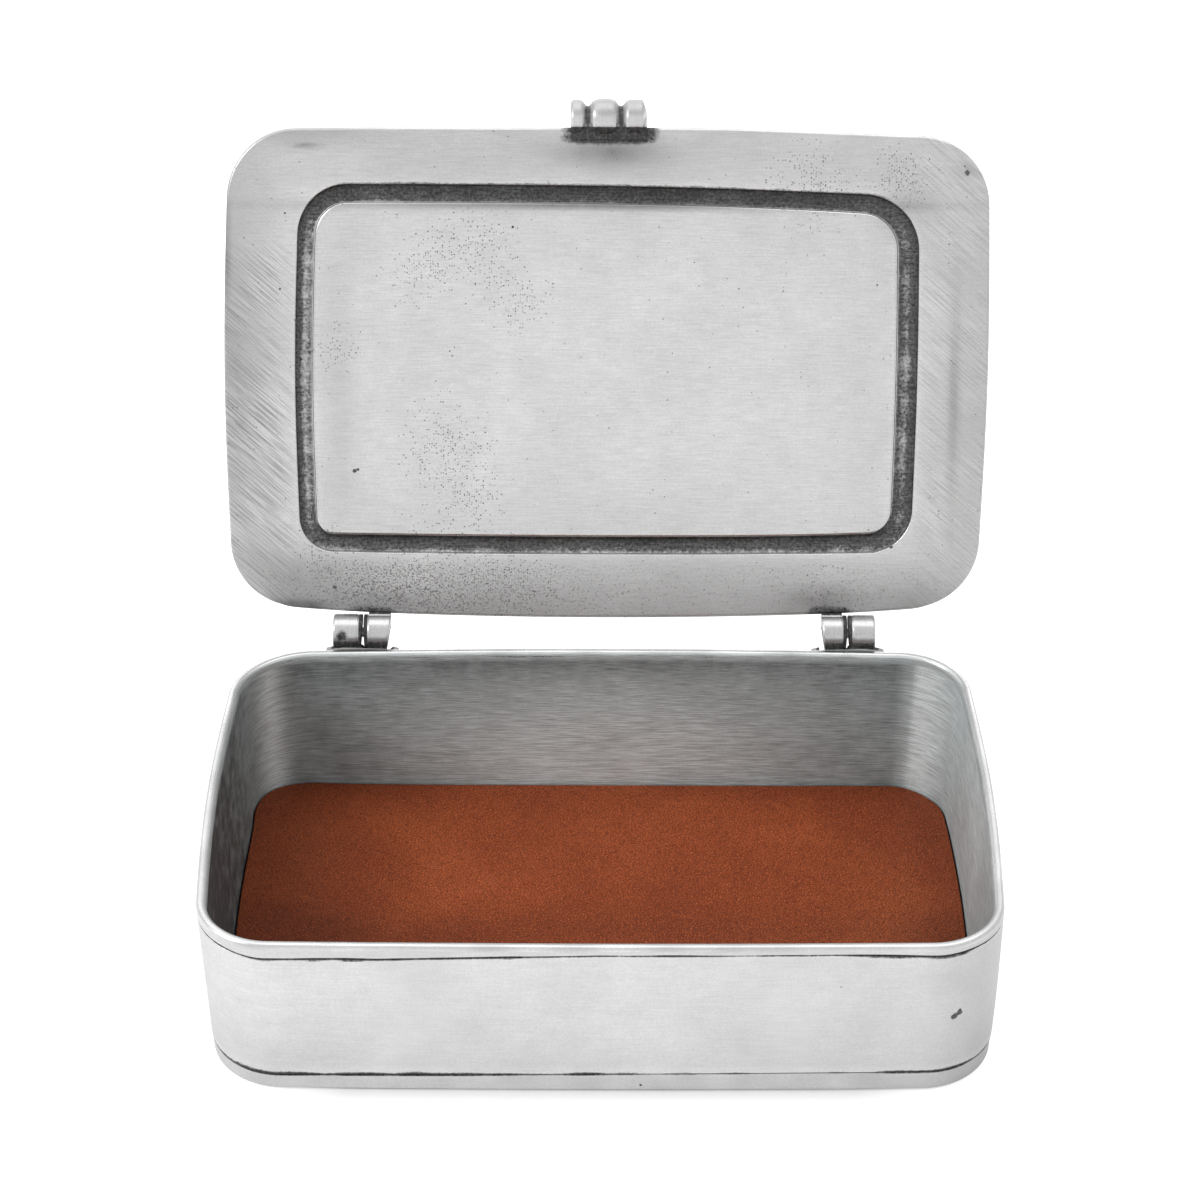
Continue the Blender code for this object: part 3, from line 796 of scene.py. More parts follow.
def inner_shade_and_highlights(row):
    """Return painted shade inside: the left end dark, the right one light; painted highlights on the rear
    corners.
    """
    x, y, _ = (row / MM).T
    height = row[:, 2] / rim_height
    # A painted light band: the long walls are lighter in their middle.
    lit_band = bell(x, lit_band_reach) * by_stops(height, lit_band_by_height)
    long_walls = 0.9 - 0.7 * lit_band + 0.5 * np.clip(height - 0.72, 0, 1)
    left_share, right_share = 1 - ramp(x, left_end_x, end_fade), ramp(x, right_end_x, end_fade)
    film = (1 - left_share) * (1 - right_share) * long_walls
    film += left_share * by_stops(y, left_end_shade) + right_share * by_stops(y, right_end_shade)
    # Painted highlights on both rear corners, where the film is taken away.
    left_highlight = left_highlight_share * bell(x - left_highlight_x, left_highlight_reach)
    start = right_highlight_x + right_highlight_lean * height
    right_highlight = ramp(x, start, 1.5) * (1 - ramp(x, start + right_highlight_width, 5))
    right_side_shade = 0.35 * ramp(x, start + right_highlight_width, 4) * np.clip(1.15 - height, 0, 1)
    corners = np.maximum(left_highlight, right_highlight) * (y > highlight_start_y)
    return np.clip((film + right_side_shade) * (1 - corners), 0, 1.4)


print("haze round the front:", [share for _, share in front_haze_and_shade])

# %% [markdown]
# The section goes up the outside, over the rounded rim and down the inside, row by row, each with its
# marks. Black is smeared below the line where it was cut deepest.

# %% Sweep the band
wall_thickness = 2 * MM
rim_round = 0.85 * MM
foot_round = 0.3 * MM
inner_foot = 1.3 * MM
lip_thickness = 0.5 * MM
uneven = 0.05 * MM
line_width = 0.85 * MM
line_depth = 0.42 * MM
smear_reach = 0.35 * MM
seam_smear_heights = (0.12 * MM, 0.45 * MM, 0.5 * MM)
# Shares of the line's width, and how deep it is there.
line_section = ((0.15, 0.2), (0.3, 0.75), (0.42, 1), (0.58, 1), (0.7, 0.75), (0.85, 0.2))
# Rows below the rim inside: how far back, how far below, and their dirt, film and matt.
under_rim_rows = ((0.02 * MM, 0.3 * MM, 1, 0.4, 0.5), (0.08 * MM, 0.6 * MM, 0.6, 0.6, 1))


def build_walls():
    """Sweep the section round the outline: up the outside, over the rim and down the inside."""
    line_top = rim_height - line_below
    line_foot = line_top - line_width
    face_foot = wall_foot + foot_round
    rings, marks = [], {"patina": [], "polish": [], "film": [], "matt": []}

    def add(across, height, **values):
        """Add a ring and its marks, which are 0 where nothing is said."""
        row = ring(box_outline, across, height)
        shift = np.column_stack((wander(row, "wall_ends"), wander(row, "wall_sides"), 0 * row[:, 0]))
        rings.append(row + uneven * shift)
        for name, column in marks.items():
            column.append(values.get(name, 0))

    soft = foot_round * (0.35 + 0.65 * seam_black)
    for across, height in arc((-soft, wall_foot + soft), soft, -90, 0, few_steps):
        add(across, height, patina=seam_black)
    outside = outer_haze_and_shade(box_plan)
    first, second, clean = (face_foot + height for height in seam_smear_heights)
    add(0, first, patina=0.7 * seam_black, film=outside)
    add(0, second, patina=0.9 * np.clip(seam_black - 0.55, 0, 1), film=outside)
    smears = 1.15 * np.clip(line_strength - 0.5, 0, 1)
    for share in np.linspace(0, 1, 15)[1:]:
        height = face_foot + (line_foot - smear_reach - face_foot) * share
        add(0, np.maximum(height, clean), film=outside + 0.1 * (1 - share) ** 2)
    add(0, line_foot, patina=smears, film=outside)
    for share, deep in line_section:
        dirt = np.maximum(deep * (0.42 + 0.75 * line_strength), smears * (share < 0.4))
        add(-deep * line_depth * line_strength, line_foot + line_width * share, patina=dirt)
    add(0, line_top, patina=0.1, film=outside)
    inner_top = rim_height - rim_round
    for share in (0.35, 0.7):
        add(0, line_top + (inner_top - line_top) * share, polish=0.3, film=0.5 * outside + 0.12)
    rubbed = np.clip(0.16 + 0.25 * wander(box_plan, "rubbing"), 0.04, 0.5)
    for across, height in arc((-rim_round, inner_top), rim_round, 0, 90, round_steps):
        add(across, height, polish=0.6, film=rubbed)
    over_rim = arc((rim_round - wall_thickness, inner_top), rim_round, 90, 180, round_steps)
    for step, place in enumerate(over_rim):
        turned = step / round_steps
        add(*place, polish=0.6, film=rubbed + 0.3 * turned ** 3, matt=turned ** 2)
    rim_dirt = np.clip(0.35 + 0.5 * wander(box_plan, "rim_dirt"), 0, 0.8)
    for back, below, dirt_share, haze, dull in under_rim_rows:
        add(-wall_thickness - back, inner_top - below, patina=dirt_share * rim_dirt, film=haze, matt=dull)
    for share in np.linspace(0, 1, 21)[1:]:
        across = -wall_thickness - (foot_across - wall_thickness) * share ** 1.15
        height = inner_top + (inner_foot - inner_top) * share
        add(across, height, film=inner_shade_and_highlights(ring(box_outline, across, height)), matt=1)
    for height in (inner_foot, wall_foot):
        add(lip_thickness - foot_across, height, patina=0.5, matt=1)
    return skin("walls", shift_seam(lean(rings)), marks, tube=True)


walls = build_walls()
print("points:", len(walls.data.vertices))

# %% [markdown]
# A few pits of the casting were never filled. Their places are given as a distance across and a height on
# the front, in millimetres, and found on the outline there.

# %% Finish the walls


def on_front(x, z):
    """Return the place on the front wall's outer face at a distance across and a height in millimetres."""
    row = lean([ring(box_outline, 0, z * MM)])[0]
    front = row[row[:, 1] < 0]
    return tuple(front[np.argmin(np.abs(front[:, 0] - x * MM))])


front_pits = (
    (68.9, 18.3, 0.78), (69.35, 18.9, 0.62), (69.8, 19.5, 0.45), (45.8, 26.5, 0.16), (7.8, 1.6, 0.32)
)
placed_pits = [(on_front(x, z), radius * MM) for x, z, radius in front_pits]
wall_pewter = make_pewter("wall_pewter", "Z", tone=0.79, contrast=0.06, pits=placed_pits)
dress(walls, wall_pewter, "box", "pewter", "wall_frame")

# %% [markdown]
# ## Base tray
# The tray carries the walls. Its outer edge stands in by a hair, so the soldered joint shows as a dark
# seam, and its lower edge is rounded off. Fingers left a few smudges on that edge. Inside, the floor is
# sunk for the leather pad. The tray is skinned from rings too: from the middle of the underside outwards,
# up the edge, over the top, down into the sunk floor and back to the middle.

# %% Build the base tray
tray_low, tray_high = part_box("base_tray")
tray_edge = -(box_width - (tray_high.x - tray_low.x)) / 4
tray_top = tray_high.z
tray_round = 1 * MM
top_round = 0.25 * MM
floor_height = 1.2 * MM
floor_fillet = 4 * MM
lip_clearance = 0.1 * MM


def build_tray():
    """Skin the tray from its underside to its floor."""
    smudges = np.clip(1.7 * wander(box_plan, "smudges") - 0.5, 0, 0.5)
    soft = top_round * (0.35 + 0.65 * seam_black)
    foot = tray_edge - tray_round
    outer = [(foot, 0, 0.1)]
    outer += [(a, h, 0.1) for a, h in arc((foot, tray_round), tray_round, -80, 0, round_steps)]
    outer += [(tray_edge, h, smudges) for h in np.linspace(tray_round, tray_top - top_round, some_steps)[1:]]
    outer += [(a, h, 0.15 + 0.6 * seam_black)
              for a, h in arc((tray_edge - soft, tray_top - soft), soft, 20, 90, few_steps)]
    sunk = lip_thickness + lip_clearance - foot_across
    inner = [(sunk, tray_top, 0.5), (sunk, floor_height, 0.75), (sunk - floor_fillet, floor_height, 0.6)]
    rings = [ring(box_outline, across, height) for across, height, _ in outer + inner]
    under = list(reversed(to_centre(rings[0], 6)))
    floor = to_centre(rings[-1], 6)
    patina = [0.1] * len(under) + [dirt for _, _, dirt in outer + inner] + [0.4] * len(floor)
    rings = shift_seam(lean(under + rings + floor))
    for row in rings:
        row[:, 1] += uneven * wander(row * (1, 1, 0), "tray_sides") * np.sign(row[:, 1])
    seen = len(under) + len(outer) - 1
    outside = [outer_haze_and_shade(row) + 0.17 + 0.1 * wander(row, "tray_film") for row in rings[:seen]]
    hidden = len(rings) - seen
    return skin("tray", rings, {
        "patina": patina, "film": outside + [0.8] * hidden, "matt": [0] * seen + [1] * hidden
    })


dress(build_tray(), wall_pewter, "box", "pewter", "base_tray")

# %% [markdown]
# ## Leather pad
# The floor pad is vegetable-tanned leather, rust brown. Leather has a grain of small pebbles with creases
# between them. A Voronoi pattern, warped a little, gives the pebbles, a fine noise speckles them lighter,
# and slow noise gives the cloudy tan and a few long wrinkles.

# %% Make the leather
leather_colour = (0.465, 0.096, 0.0265, 1)
leather_dark = (0.285, 0.05, 0.0135, 1)
leather_light = (0.66, 0.165, 0.052, 1)
leather_deep = (0.1, 0.016, 0.004, 1)
pebble_cells = 1700
warp_waves = 450
warp_reach = (0.7 * MM, 0.7 * MM, 0.7 * MM)
leather_grit_waves = 2600
crease_waves = 420
tan_waves = 26
wrinkle_waves = (22, 60, 22)
wrinkle_turn = math.radians(28)
crease_width_share = 0.2
wall_shade_depth = 0.55
leather_shine = 0.22
crease_relief, fold_relief = 0.1 * MM, 0.03 * MM


def make_leather():
    """Rust-brown leather with a fine pebbled grain."""
    material, net, shader = new_finish("tan_leather")
    place = net.place()
    warped = net.vector("MULTIPLY_ADD", net.noise(place, warp_waves, output="Color"), warp_reach, place)
    pebbles = net.cells(warped["Vector"], pebble_cells, feature="DISTANCE_TO_EDGE")["Distance"]
    grit = net.noise(place, leather_grit_waves, detail=3, roughness=0.7)
    creases = net.noise(place, crease_waves, detail=5, roughness=0.65)
    clouds = net.noise(place, tan_waves, detail=4, roughness=0.55, distortion=0.3)
    wrinkles = net.noise(net.stretch(place, wrinkle_waves, turn=(0, 0, wrinkle_turn)), detail=3)
    fold_lines = net.remap(net.sum("ABSOLUTE", net.minus(wrinkles, 0.5)), 0, 0.006, 1, 0)
    gullies = net.remap(pebbles, 0, crease_width_share, 1, 0)
    grain = net.times(gullies, net.remap(grit, 0.38, 0.6, 0.5, 1))
    tan = net.mix(net.remap(clouds, 0.33, 0.66), leather_dark, leather_colour)
    layers = (
        (net.remap(clouds, 0.55, 0.75, 0, 0.35), leather_light),
        # The rounded edge is painted lighter as a highlight.
        (net.times(net.mark("edge"), 0.5), leather_light),
        (net.remap(creases, 0.42, 0.62, 0, 0.12), leather_dark),
        (net.remap(grit, 0.48, 0.66, 0, 0.9), leather_light),
        (net.times(grain, 0.9), leather_deep),
        (net.times(fold_lines, 0.12), leather_light)
    )
    for share, colour in layers:
        tan = net.mix(share, tan, colour)
    # Painted shade from the walls darkens the tan.
    shaded_tan = net.vector("MULTIPLY", tan, net.grey(net.fade(net.mark("wall_shade"), wall_shade_depth)))
    net.feed(shader, {
        "Base Color": shaded_tan["Vector"], "Roughness": net.spread(creases, 0.55, 0.72),
        "Specular IOR Level": leather_shine,
        "Normal": net.relief((net.minus(1, grain), crease_relief), (fold_lines, fold_relief))
    })
    return material


print("pebbles to the millimetre:", pebble_cells * MM)

# %% [markdown]
# The pad is glued over a card with its edge turned down. It is a skin of rings as well, with a soft round
# edge that is painted lighter as a highlight, and its face swells a little here and there, as hide does.
# Painted shade darkens it where the walls shade it: most at its left end, less at its right end, along its
# rear edge and over its front half.

# %% Build the pad
leather_low, leather_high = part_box("leather_liner")
leather_gap = 0.3 * MM
leather_round = 0.45 * MM
leather_top_drop = 0.45 * MM
leather_foot_drop = 0.25 * MM
leather_top = leather_high.z - leather_top_drop
leather_foot = leather_low.z - leather_foot_drop
leather_swell = 0.1 * MM
edge_highlight_shares = (0.35, 0.5, 0.7, 0.9, 1, 0.9, 0.6, 0.3, 0.1, 0.05)


def leather_wall_shade(row):
    """Return the painted shade on the hide where the walls shade it: most at the left end, less at the right
    end, along the rear edge and over the front half.
    """
    x, y, _ = (row / MM).T
    ends = 0.95 * bell(x + 78, 26) + 0.55 * bell(x - 78, 24)
    return np.clip(ends + 0.4 * bell(y - 49, 6) + 0.45 * ramp(-y, -6, 10), 0, 1)


def build_leather():
    """Skin the pad from its underside, round its edge and to the middle of its face."""
    edge = -leather_gap - foot_across
    turned = arc((edge - leather_round, leather_top - leather_round), leather_round, 0, 90, some_steps)
    section = [(edge - leather_round, leather_foot), (edge, leather_foot + leather_round / 2), *turned]
    rings = [ring(box_outline, across, height) for across, height in section]
    under = list(reversed(to_centre(rings[0], 3)))
    face = to_centre(rings[-1], 40)
    for row in face:
        row[:, 2] += leather_swell * wander(row, "leather")
    rows = lean(under + rings + face)
    # The painted highlight along the rounded edge.
    worn = [0] * len(under) + list(edge_highlight_shares)
    worn += [0] * (len(rows) - len(worn))
    return skin("leather_pad", rows, {"edge": worn, "wall_shade": [leather_wall_shade(row) for row in rows]})


leather_pad = build_leather()
dress(leather_pad, make_leather(), "box", "leather", "leather_liner")

# %% [markdown]
# ## Lid
# The lid is drawn shut, about the hinge axis, and one matrix tips it back as it stands open. That keeps its
# own axes simple: X along the width, Y from front to rear and Z through the plate. Its front edge runs
# unevenly, its rear one swells, and it sits a third of a degree askew, all as a hand leaves them.

# %% Place and outline the lid
hinge = frame["joints"][0]
hinge_axis = Vector(hinge["pos_m"])
open_angle = math.radians(hinge["range_deg"][1])
lid_place = Matrix.Translation(hinge_axis) @ Matrix.Rotation(-open_angle, 4, "X")
lid_extra_width = 3.3 * MM
lid_extra_depth = 1.2 * MM
lid_width = box_width + lid_extra_width
lid_depth = box_depth + lid_extra_depth
lid_radii = (15.5 * MM, 15 * MM, 14.6 * MM, 14.6 * MM)
lid_bows = (0.75 * MM, 1.35 * MM, 0.9 * MM, 0.6 * MM)
lid_rear_reach = 0.95 * MM
lid_rear_swell_share = 0.86
# Places along the front edge and its shifts, in millimetres.
lid_front_shifts = (
    (-80, -0.7), (-50, -0.7), (-20, -0.35), (16, -0.4), (26, -0.35), (37, -0.1), (51, 0.23), (62, 0.53),
    (80, 0.68)
)
lid_side_shift = 0.55 * MM
lid_skew_share = 0.0063
lid_rim_gap = 0.3 * MM
lid_thickness = 2.8 * MM
lid_inner_z = rim_height + lid_rim_gap - hinge_axis.z
lid_outer_z = lid_inner_z + lid_thickness
lid_middle_y = box_depth / 2 - hinge_axis.y - lid_depth / 2
lid_front_y = lid_middle_y - lid_depth / 2
lid_outline = bowed_outline(lid_width, lid_depth, lid_radii, lid_bows)


def hand_fit(rows):
    """Shift rings of the lid to their place, with an uneven front edge, a swollen rear one and a skew."""
    for row in rows:
        front, rear = (np.clip(sign * 2 * row[:, 1] / lid_depth, 0, 1) ** 4 for sign in (-1, 1))
        swell = np.clip(1 - (2 * row[:, 0] / lid_width / lid_rear_swell_share) ** 6, 0, 1)
        row[:, 1] += by_stops(row[:, 0] / MM, lid_front_shifts) * MM * front + lid_rear_reach * swell * rear
        row[:, 1] += lid_middle_y
        row[:, 0] += lid_side_shift - lid_skew_share * row[:, 1]
    return rows


print("lid opened by", round(math.degrees(open_angle), 1), "degrees")

# %% [markdown]
# The inner face has a sunk frame, with rounder corners in front than behind. Black patina fills it, and
# painted shade blackens the walls that face down when the lid stands open, most along its front side. It gets
# an outline of its own, and outside, the raised frame follows the same one.

# %% Outline the frame
frame_width, frame_depth = 132.8 * MM, 78.7 * MM
frame_middle_y = -57.15 * MM
frame_radii = (12 * MM, 9.5 * MM, 7.5 * MM, 10.8 * MM)
frame_bows = (0.35 * MM, 0.35 * MM, 0.7 * MM, 0.6 * MM)
frame_slope_share = 0.014
groove_width = 3.6 * MM
groove_right_widening = 0.8 * MM
frame_outline = bowed_outline(frame_width, frame_depth, frame_radii, frame_bows)
frame_plan = ring(frame_outline, 0, 0)
# The black across the sunk frame, from its outer edge, 0, to the panel, 1: patina, and painted shade on
# the wall that faces down when the lid stands open, the outer one along the front and the panel's along the
# rear.
front_groove_black_and_shade = ((0, 1), (0.12, 1), (0.3, 0.97), (0.6, 0.93), (0.85, 0.82), (1, 0.5))
end_groove = ((0, 0.88), (0.12, 0.92), (0.3, 0.68), (0.6, 0.5), (0.85, 0.68), (1, 0.25))
rear_groove_black_and_shade = ((0, 0.42), (0.12, 0.57), (0.3, 0.66), (0.6, 0.8), (0.85, 1), (1, 1))


def frame_ring(across, height):
    """Return a ring of the frame, whose front side slopes a little."""
    row = ring(frame_outline, across, height)
    front = np.clip(0.5 - row[:, 1] / frame_depth, 0, 1)
    row[:, 1] += frame_middle_y - lid_middle_y + frame_slope_share * row[:, 0] * front
    return row


print("frame, mm:", round(frame_width / MM, 1), "by", round(frame_depth / MM, 1))

# %% [markdown]
# Film greys the lid near the hinges, the thumb piece and some edges, and as painted shade it darkens the lid
# towards its edges, most on the flange outside the sunk frame, and dims the highlight on the panel's front
# lip. The rear flange is finely pitted, a file crossed the brush lines on both ends, and black stayed round
# the solder. Each is a rule that turns a ring's points into a mark.

# %% Mark the lid
film_base, frame_shade_share, flange_shade_share = 0.05, 0.075, 0.08
# Spots: a place, its reach and its strength, in millimetres.
# The spot at (0, -92.6) is painted shade that dims the highlight on the panel's front lip.
haze_and_shade_spots = (
    ((-79, -60), (6, 36), 0.2), ((-62, -108), (14, 3), 0.3), ((-66, -12), (14, 7), 0.35),
    ((-30, -6), (30, 5), 0.2), ((48, -7), (8, 3.5), 0.4), ((-48, -6), (8, 3), 0.25),
    ((1.5, -104), (13, 3.5), 0.6), ((64, -93), (6, 5), 0.25), ((75.2, -52), (1.2, 22), 0.3),
    ((77, -100), (2.5, 2), 0.2), ((20, -8), (50, 9), 0.2), ((-56, -50), (3, 24), 0.14),
    ((80, -45), (6, 40), 0.1), ((-79, -50), (6, 34), 0.1), ((-80.5, -85), (1.2, 12), 0.7),
    ((-66, -5.5), (6, 1.6), 0.9), ((70, -6), (14, 6), 0.3), ((0, -92.6), (56, 0.9), 0.75),
    ((-62.5, -105), (3, 0.6), 0.5), ((-80.6, -92), (0.8, 3.5), 0.9)
)
grit_spots = (((64, -98), (8, 6), 0.8), ((-45, -105), (30, 4), 0.35), ((-35, -33), (14, 12), 0.45))
# Places along the rear flange and the grit there.
rear_grit = ((-70, 0.5), (-50, 1), (-20, 0.75), (20, 0.5), (60, 0.6), (80, 0.3))
# Soldered roots: a place across, its reach and how black it is.
lid_solder = ((-50, 7, 0.75), (49.5, 5.5, 1))
thumb_root = (1.6, 11, 0.85)


def haze_and_shade_at(row):
    """Return the grey film on the lid: haze at the hinges, the thumb piece and some edges, and painted shade
    towards the edges and on the panel's front lip.
    """
    x, y, _ = row.T
    outside = 2 * np.maximum(np.abs(x) / frame_width, np.abs(y - frame_middle_y) / frame_depth)
    # Painted shade: darker towards the lid's edges, most on the flange outside the frame.
    film = film_base + frame_shade_share * ramp(outside, 0.5, 0.4) + flange_shade_share * ramp(outside, 1, 0.06)
    for centre, reach, strength in haze_and_shade_spots:
        film += strength * spot(row, centre, reach)
    return np.clip(film, 0, 1)


def grit_at(row):
    """Return where the cast face is finely pitted all over: along the rear flange and in a few spots."""
    x, y, _ = (row / MM).T
    grit = ramp(y, -17.5, 3) * by_stops(x, rear_grit)
    spots = [strength * spot(row, centre, reach) for centre, reach, strength in grit_spots]
    return np.maximum.reduce([grit, *spots])


def hatch_at(row):
    """Return where the flange was filed across: on both ends, strongest on the left behind its corner."""
    x, y, _ = (row / MM).T
    return ramp(np.abs(x), 64, 6) * np.where(x < 0, np.clip((y + 86) / 6, 0.15, 1), 0.45)


def root_dirt(row):
    """Return the black round the soldered roots of the knuckles and the thumb piece."""
    x, y, _ = (row / MM).T
    near_rear = ramp(y, -7.4, 2.8)
    roots = [strength * near_rear * bell(x - centre, reach, 4) for centre, reach, strength in lid_solder]
    centre, reach, strength = thumb_root
    near_front = ramp(-y, -lid_front_y / MM - 4.1, 1.8)
    return np.maximum.reduce([*roots, strength * near_front * bell(x - centre, reach, 6)])


print("spots of film:", len(haze_and_shade_spots))

# %% [markdown]
# Rings run from the middle of the inner face over the sunk frame, across the flange, which is slightly
# domed, round the edge and back over the raised frame outside.

# %% Skin the lid
hollow_depth = 1 * MM
lip_round = 0.35 * MM
panel_lip_round = 0.65 * MM
floor_round = 0.75 * MM
flange_dome = 0.6 * MM
flange_steps = 16
inner_edge_round = 0.7 * MM
outer_edge_round = 1 * MM
frame_rise = 0.7 * MM
bead_round = 0.6 * MM
bead_foot = 0.4 * MM
lid_unevenness = 0.07 * MM


def build_lid():
    """Skin the lid from the middle of its inner face to the middle of its outer face."""
    rings, patina, polish = [], [], []

    def add(new_rings, dirt=0, shine=0):
        rings.extend(new_rings)
        patina.extend([dirt] * len(new_rings))
        polish.extend([shine] * len(new_rings))

    along = 2 * frame_plan[:, 1] / frame_depth
    front, rear = np.clip(-along, 0, 1) ** 6, np.clip(along, 0, 1) ** 6
    ends = (1 - front - rear) * np.where(frame_plan[:, 0] < 0, 0.86, 1)
    uneven_dirt = 1 + 0.15 * wander(frame_plan, "groove")

    def add_groove(across, height, place):
        """Add a ring of the sunk frame, black by its place from the outer edge, 0, to the panel, 1, as patina
        and painted shade.
        """
        sides = ((front, front_groove_black_and_shade), (ends, end_groove), (rear, rear_groove_black_and_shade))
        dirt = sum(share * by_stops(place, table) for share, table in sides)
        add([frame_ring(across, lid_inner_z - height)], np.clip(dirt * uneven_dirt, 0, 1))

    inner = -groove_width - groove_right_widening * np.clip(2 * frame_plan[:, 0] / frame_width, 0, 1) ** 4
    lip = arc((-panel_lip_round, -panel_lip_round), panel_lip_round, 90, 0, lip_steps)
    add(list(reversed(to_centre(frame_ring(inner + lip[0][0], lid_inner_z), 30))))
    # Painted shade blackens the panel's lip along the rear side, where it faces down when the lid stands
    # open.
    for step, (across, height) in enumerate(lip):
        dirt = 0.1 + 0.85 * rear * (step / lip_steps) ** 2
        add([frame_ring(inner + across, lid_inner_z - height)], dirt, 0.9)
    for across, height in arc((floor_round, floor_round - hollow_depth), floor_round, 205, 270, some_steps):
        add_groove(inner + across, height, 1 - across / groove_width)
    add_groove(inner / 2, -hollow_depth, 0.5)
    for across, height in arc((-floor_round, floor_round - hollow_depth), floor_round, 270, 360, some_steps):
        add_groove(across, height, -across / groove_width)
    # Painted shade blackens the flange's lip more along the front side, where it faces down when the lid
    # stands open.
    for across, height in arc((lip_round, -lip_round), lip_round, 180, 90, few_steps):
        add([frame_ring(across, lid_inner_z - height)], 0.35 * front + 0.15, 0.8)
    flange = between(rings[-1], ring(lid_outline, -inner_edge_round, lid_inner_z), flange_steps)
    for step, row in enumerate(flange):
        row[:, 2] += flange_dome * ((step + 1) / flange_steps) ** 2.5
    add(flange)
    edge_z = lid_inner_z + flange_dome + inner_edge_round
    # The small patina on the inner edge's round is painted shade that dims its highlight.
    for place in arc((-inner_edge_round, edge_z), inner_edge_round, -90, 0, lip_steps):
        add([ring(lid_outline, *place)], 0.12, 0.2)
    outer_z = lid_outer_z - outer_edge_round
    for place in arc((-outer_edge_round, outer_z), outer_edge_round, 0, 90, round_steps):
        add([ring(lid_outline, *place)], 0, 0.5)
    bead_start = frame_ring(bead_foot, lid_outer_z)
    add(between(rings[-1], bead_start, 12))
    add([bead_start], 0.75)
    bead_z = lid_outer_z + frame_rise - bead_round
    for across, height in arc((-bead_round, bead_z), bead_round, 0, 90, some_steps):
        add([frame_ring(across, height)], 0.1, 0.7)
    for across, height in arc((bead_round, bead_z), bead_round, 90, 180, some_steps):
        add([frame_ring(inner + across, height)], 0.1, 0.7)
    add([frame_ring(inner - bead_foot, lid_outer_z)], 0.75)
    add(to_centre(rings[-1], 30))
    for row in rings:
        row[:, 2] += lid_unevenness * wander(row * (1, 1, 0), "lid")
    hand_fit(rings)
    patina = [np.maximum(dirt, root_dirt(row)) for dirt, row in zip(patina, rings)]
    marks = {"patina": patina, "polish": polish}
    for name, rule in (("film", haze_and_shade_at), ("hatch", hatch_at), ("grit", grit_at)):
        marks[name] = [rule(row) for row in rings]
    return skin("lid", rings, marks)


lid = build_lid()
lid.matrix_world = lid_place
print("points:", len(lid.data.vertices))

# %% [markdown]
# The casting's pits crowd in a few places of the inner face, and some larger ones lie alone.

# %% Finish the lid
# Places and reaches in millimetres.
pit_clusters = (
    ((-28, -84), 13), ((-38, -79), 9), ((-17, -72), 9), ((-33, -41), 13), ((-28, -30), 9), ((-37, -13), 17),
    ((-20, -12), 13), ((62, -98), 10), ((45, -97), 12), ((-60, -17), 9), ((50, -8), 9), ((-57, -62), 7)
)
lone_pits = (
    (-57.6, -10, 0.5), (-53, -35.6, 0.45), (-52.3, -35.9, 0.3), (62.4, -19.3, 0.4), (77.1, -99.6, 0.7),
    (76.5, -101.2, 0.55), (-67.2, -90.8, 0.22), (-68.5, -74.7, 0.25), (58.4, -75.9, 0.22), (64.6, -28, 0.8),
    (63.6, -27.5, 0.5), (-19, -88, 0.3)
)
lid_pewter = make_pewter(
    "lid_pewter", "YZ", contrast=0.11, hatched=True,
    clusters=[((x * MM, y * MM, lid_inner_z), reach * MM) for (x, y), reach in pit_clusters],
    pits=[((x * MM, y * MM, lid_inner_z), radius * MM) for x, y, radius in lone_pits]
)
dress(lid, lid_pewter, "lid", "pewter", "lid_plate")

# %% [markdown]
# ## Hinges
# A hinge is cast and soldered, and such pieces have no crisp inner corners. So plain solids, turned or
# drawn along X, are joined by a voxel remesh and smoothed a little, which rounds every edge and fills every
# corner as solder would. Marks are stored afterwards, by rules that read where the new points lie.

# %% Helpers for cast shapes
voxel_size = 0.14 * MM


def turned_bar(name, profile, steps=72):
    """Turn a profile of (place along X, radius) points about X and close its ends."""
    angles = np.arange(steps) * 2 * math.pi / steps
    return skin(name, [
        np.column_stack((np.full(steps, place), radius * np.cos(angles), radius * np.sin(angles)))
        for place, radius in profile
    ])


def prism(name, section, left, right, taper=0, top_drops=((0, 0),)):
    """Return a solid of a (Y, Z) section between two places along X.

    Its ends are drawn out by taper at the lowest Z. top_drops lowers its top near both ends: each is a share
    of the length and a distance.
    """
    lowest, highest = min(z for _, z in section), max(z for _, z in section)
    rings = []
    for share, drop in [*top_drops, *((1 - share, drop) for share, drop in reversed(top_drops))]:
        place = left + (right - left) * share
        down = np.array([(highest - z) / (highest - lowest) for _, z in section])
        y, z = np.array(section).T
        rings.append(np.column_stack((place + (2 * share - 1) * taper * down, y, z - drop * (1 - down))))
    return skin(name, rings)


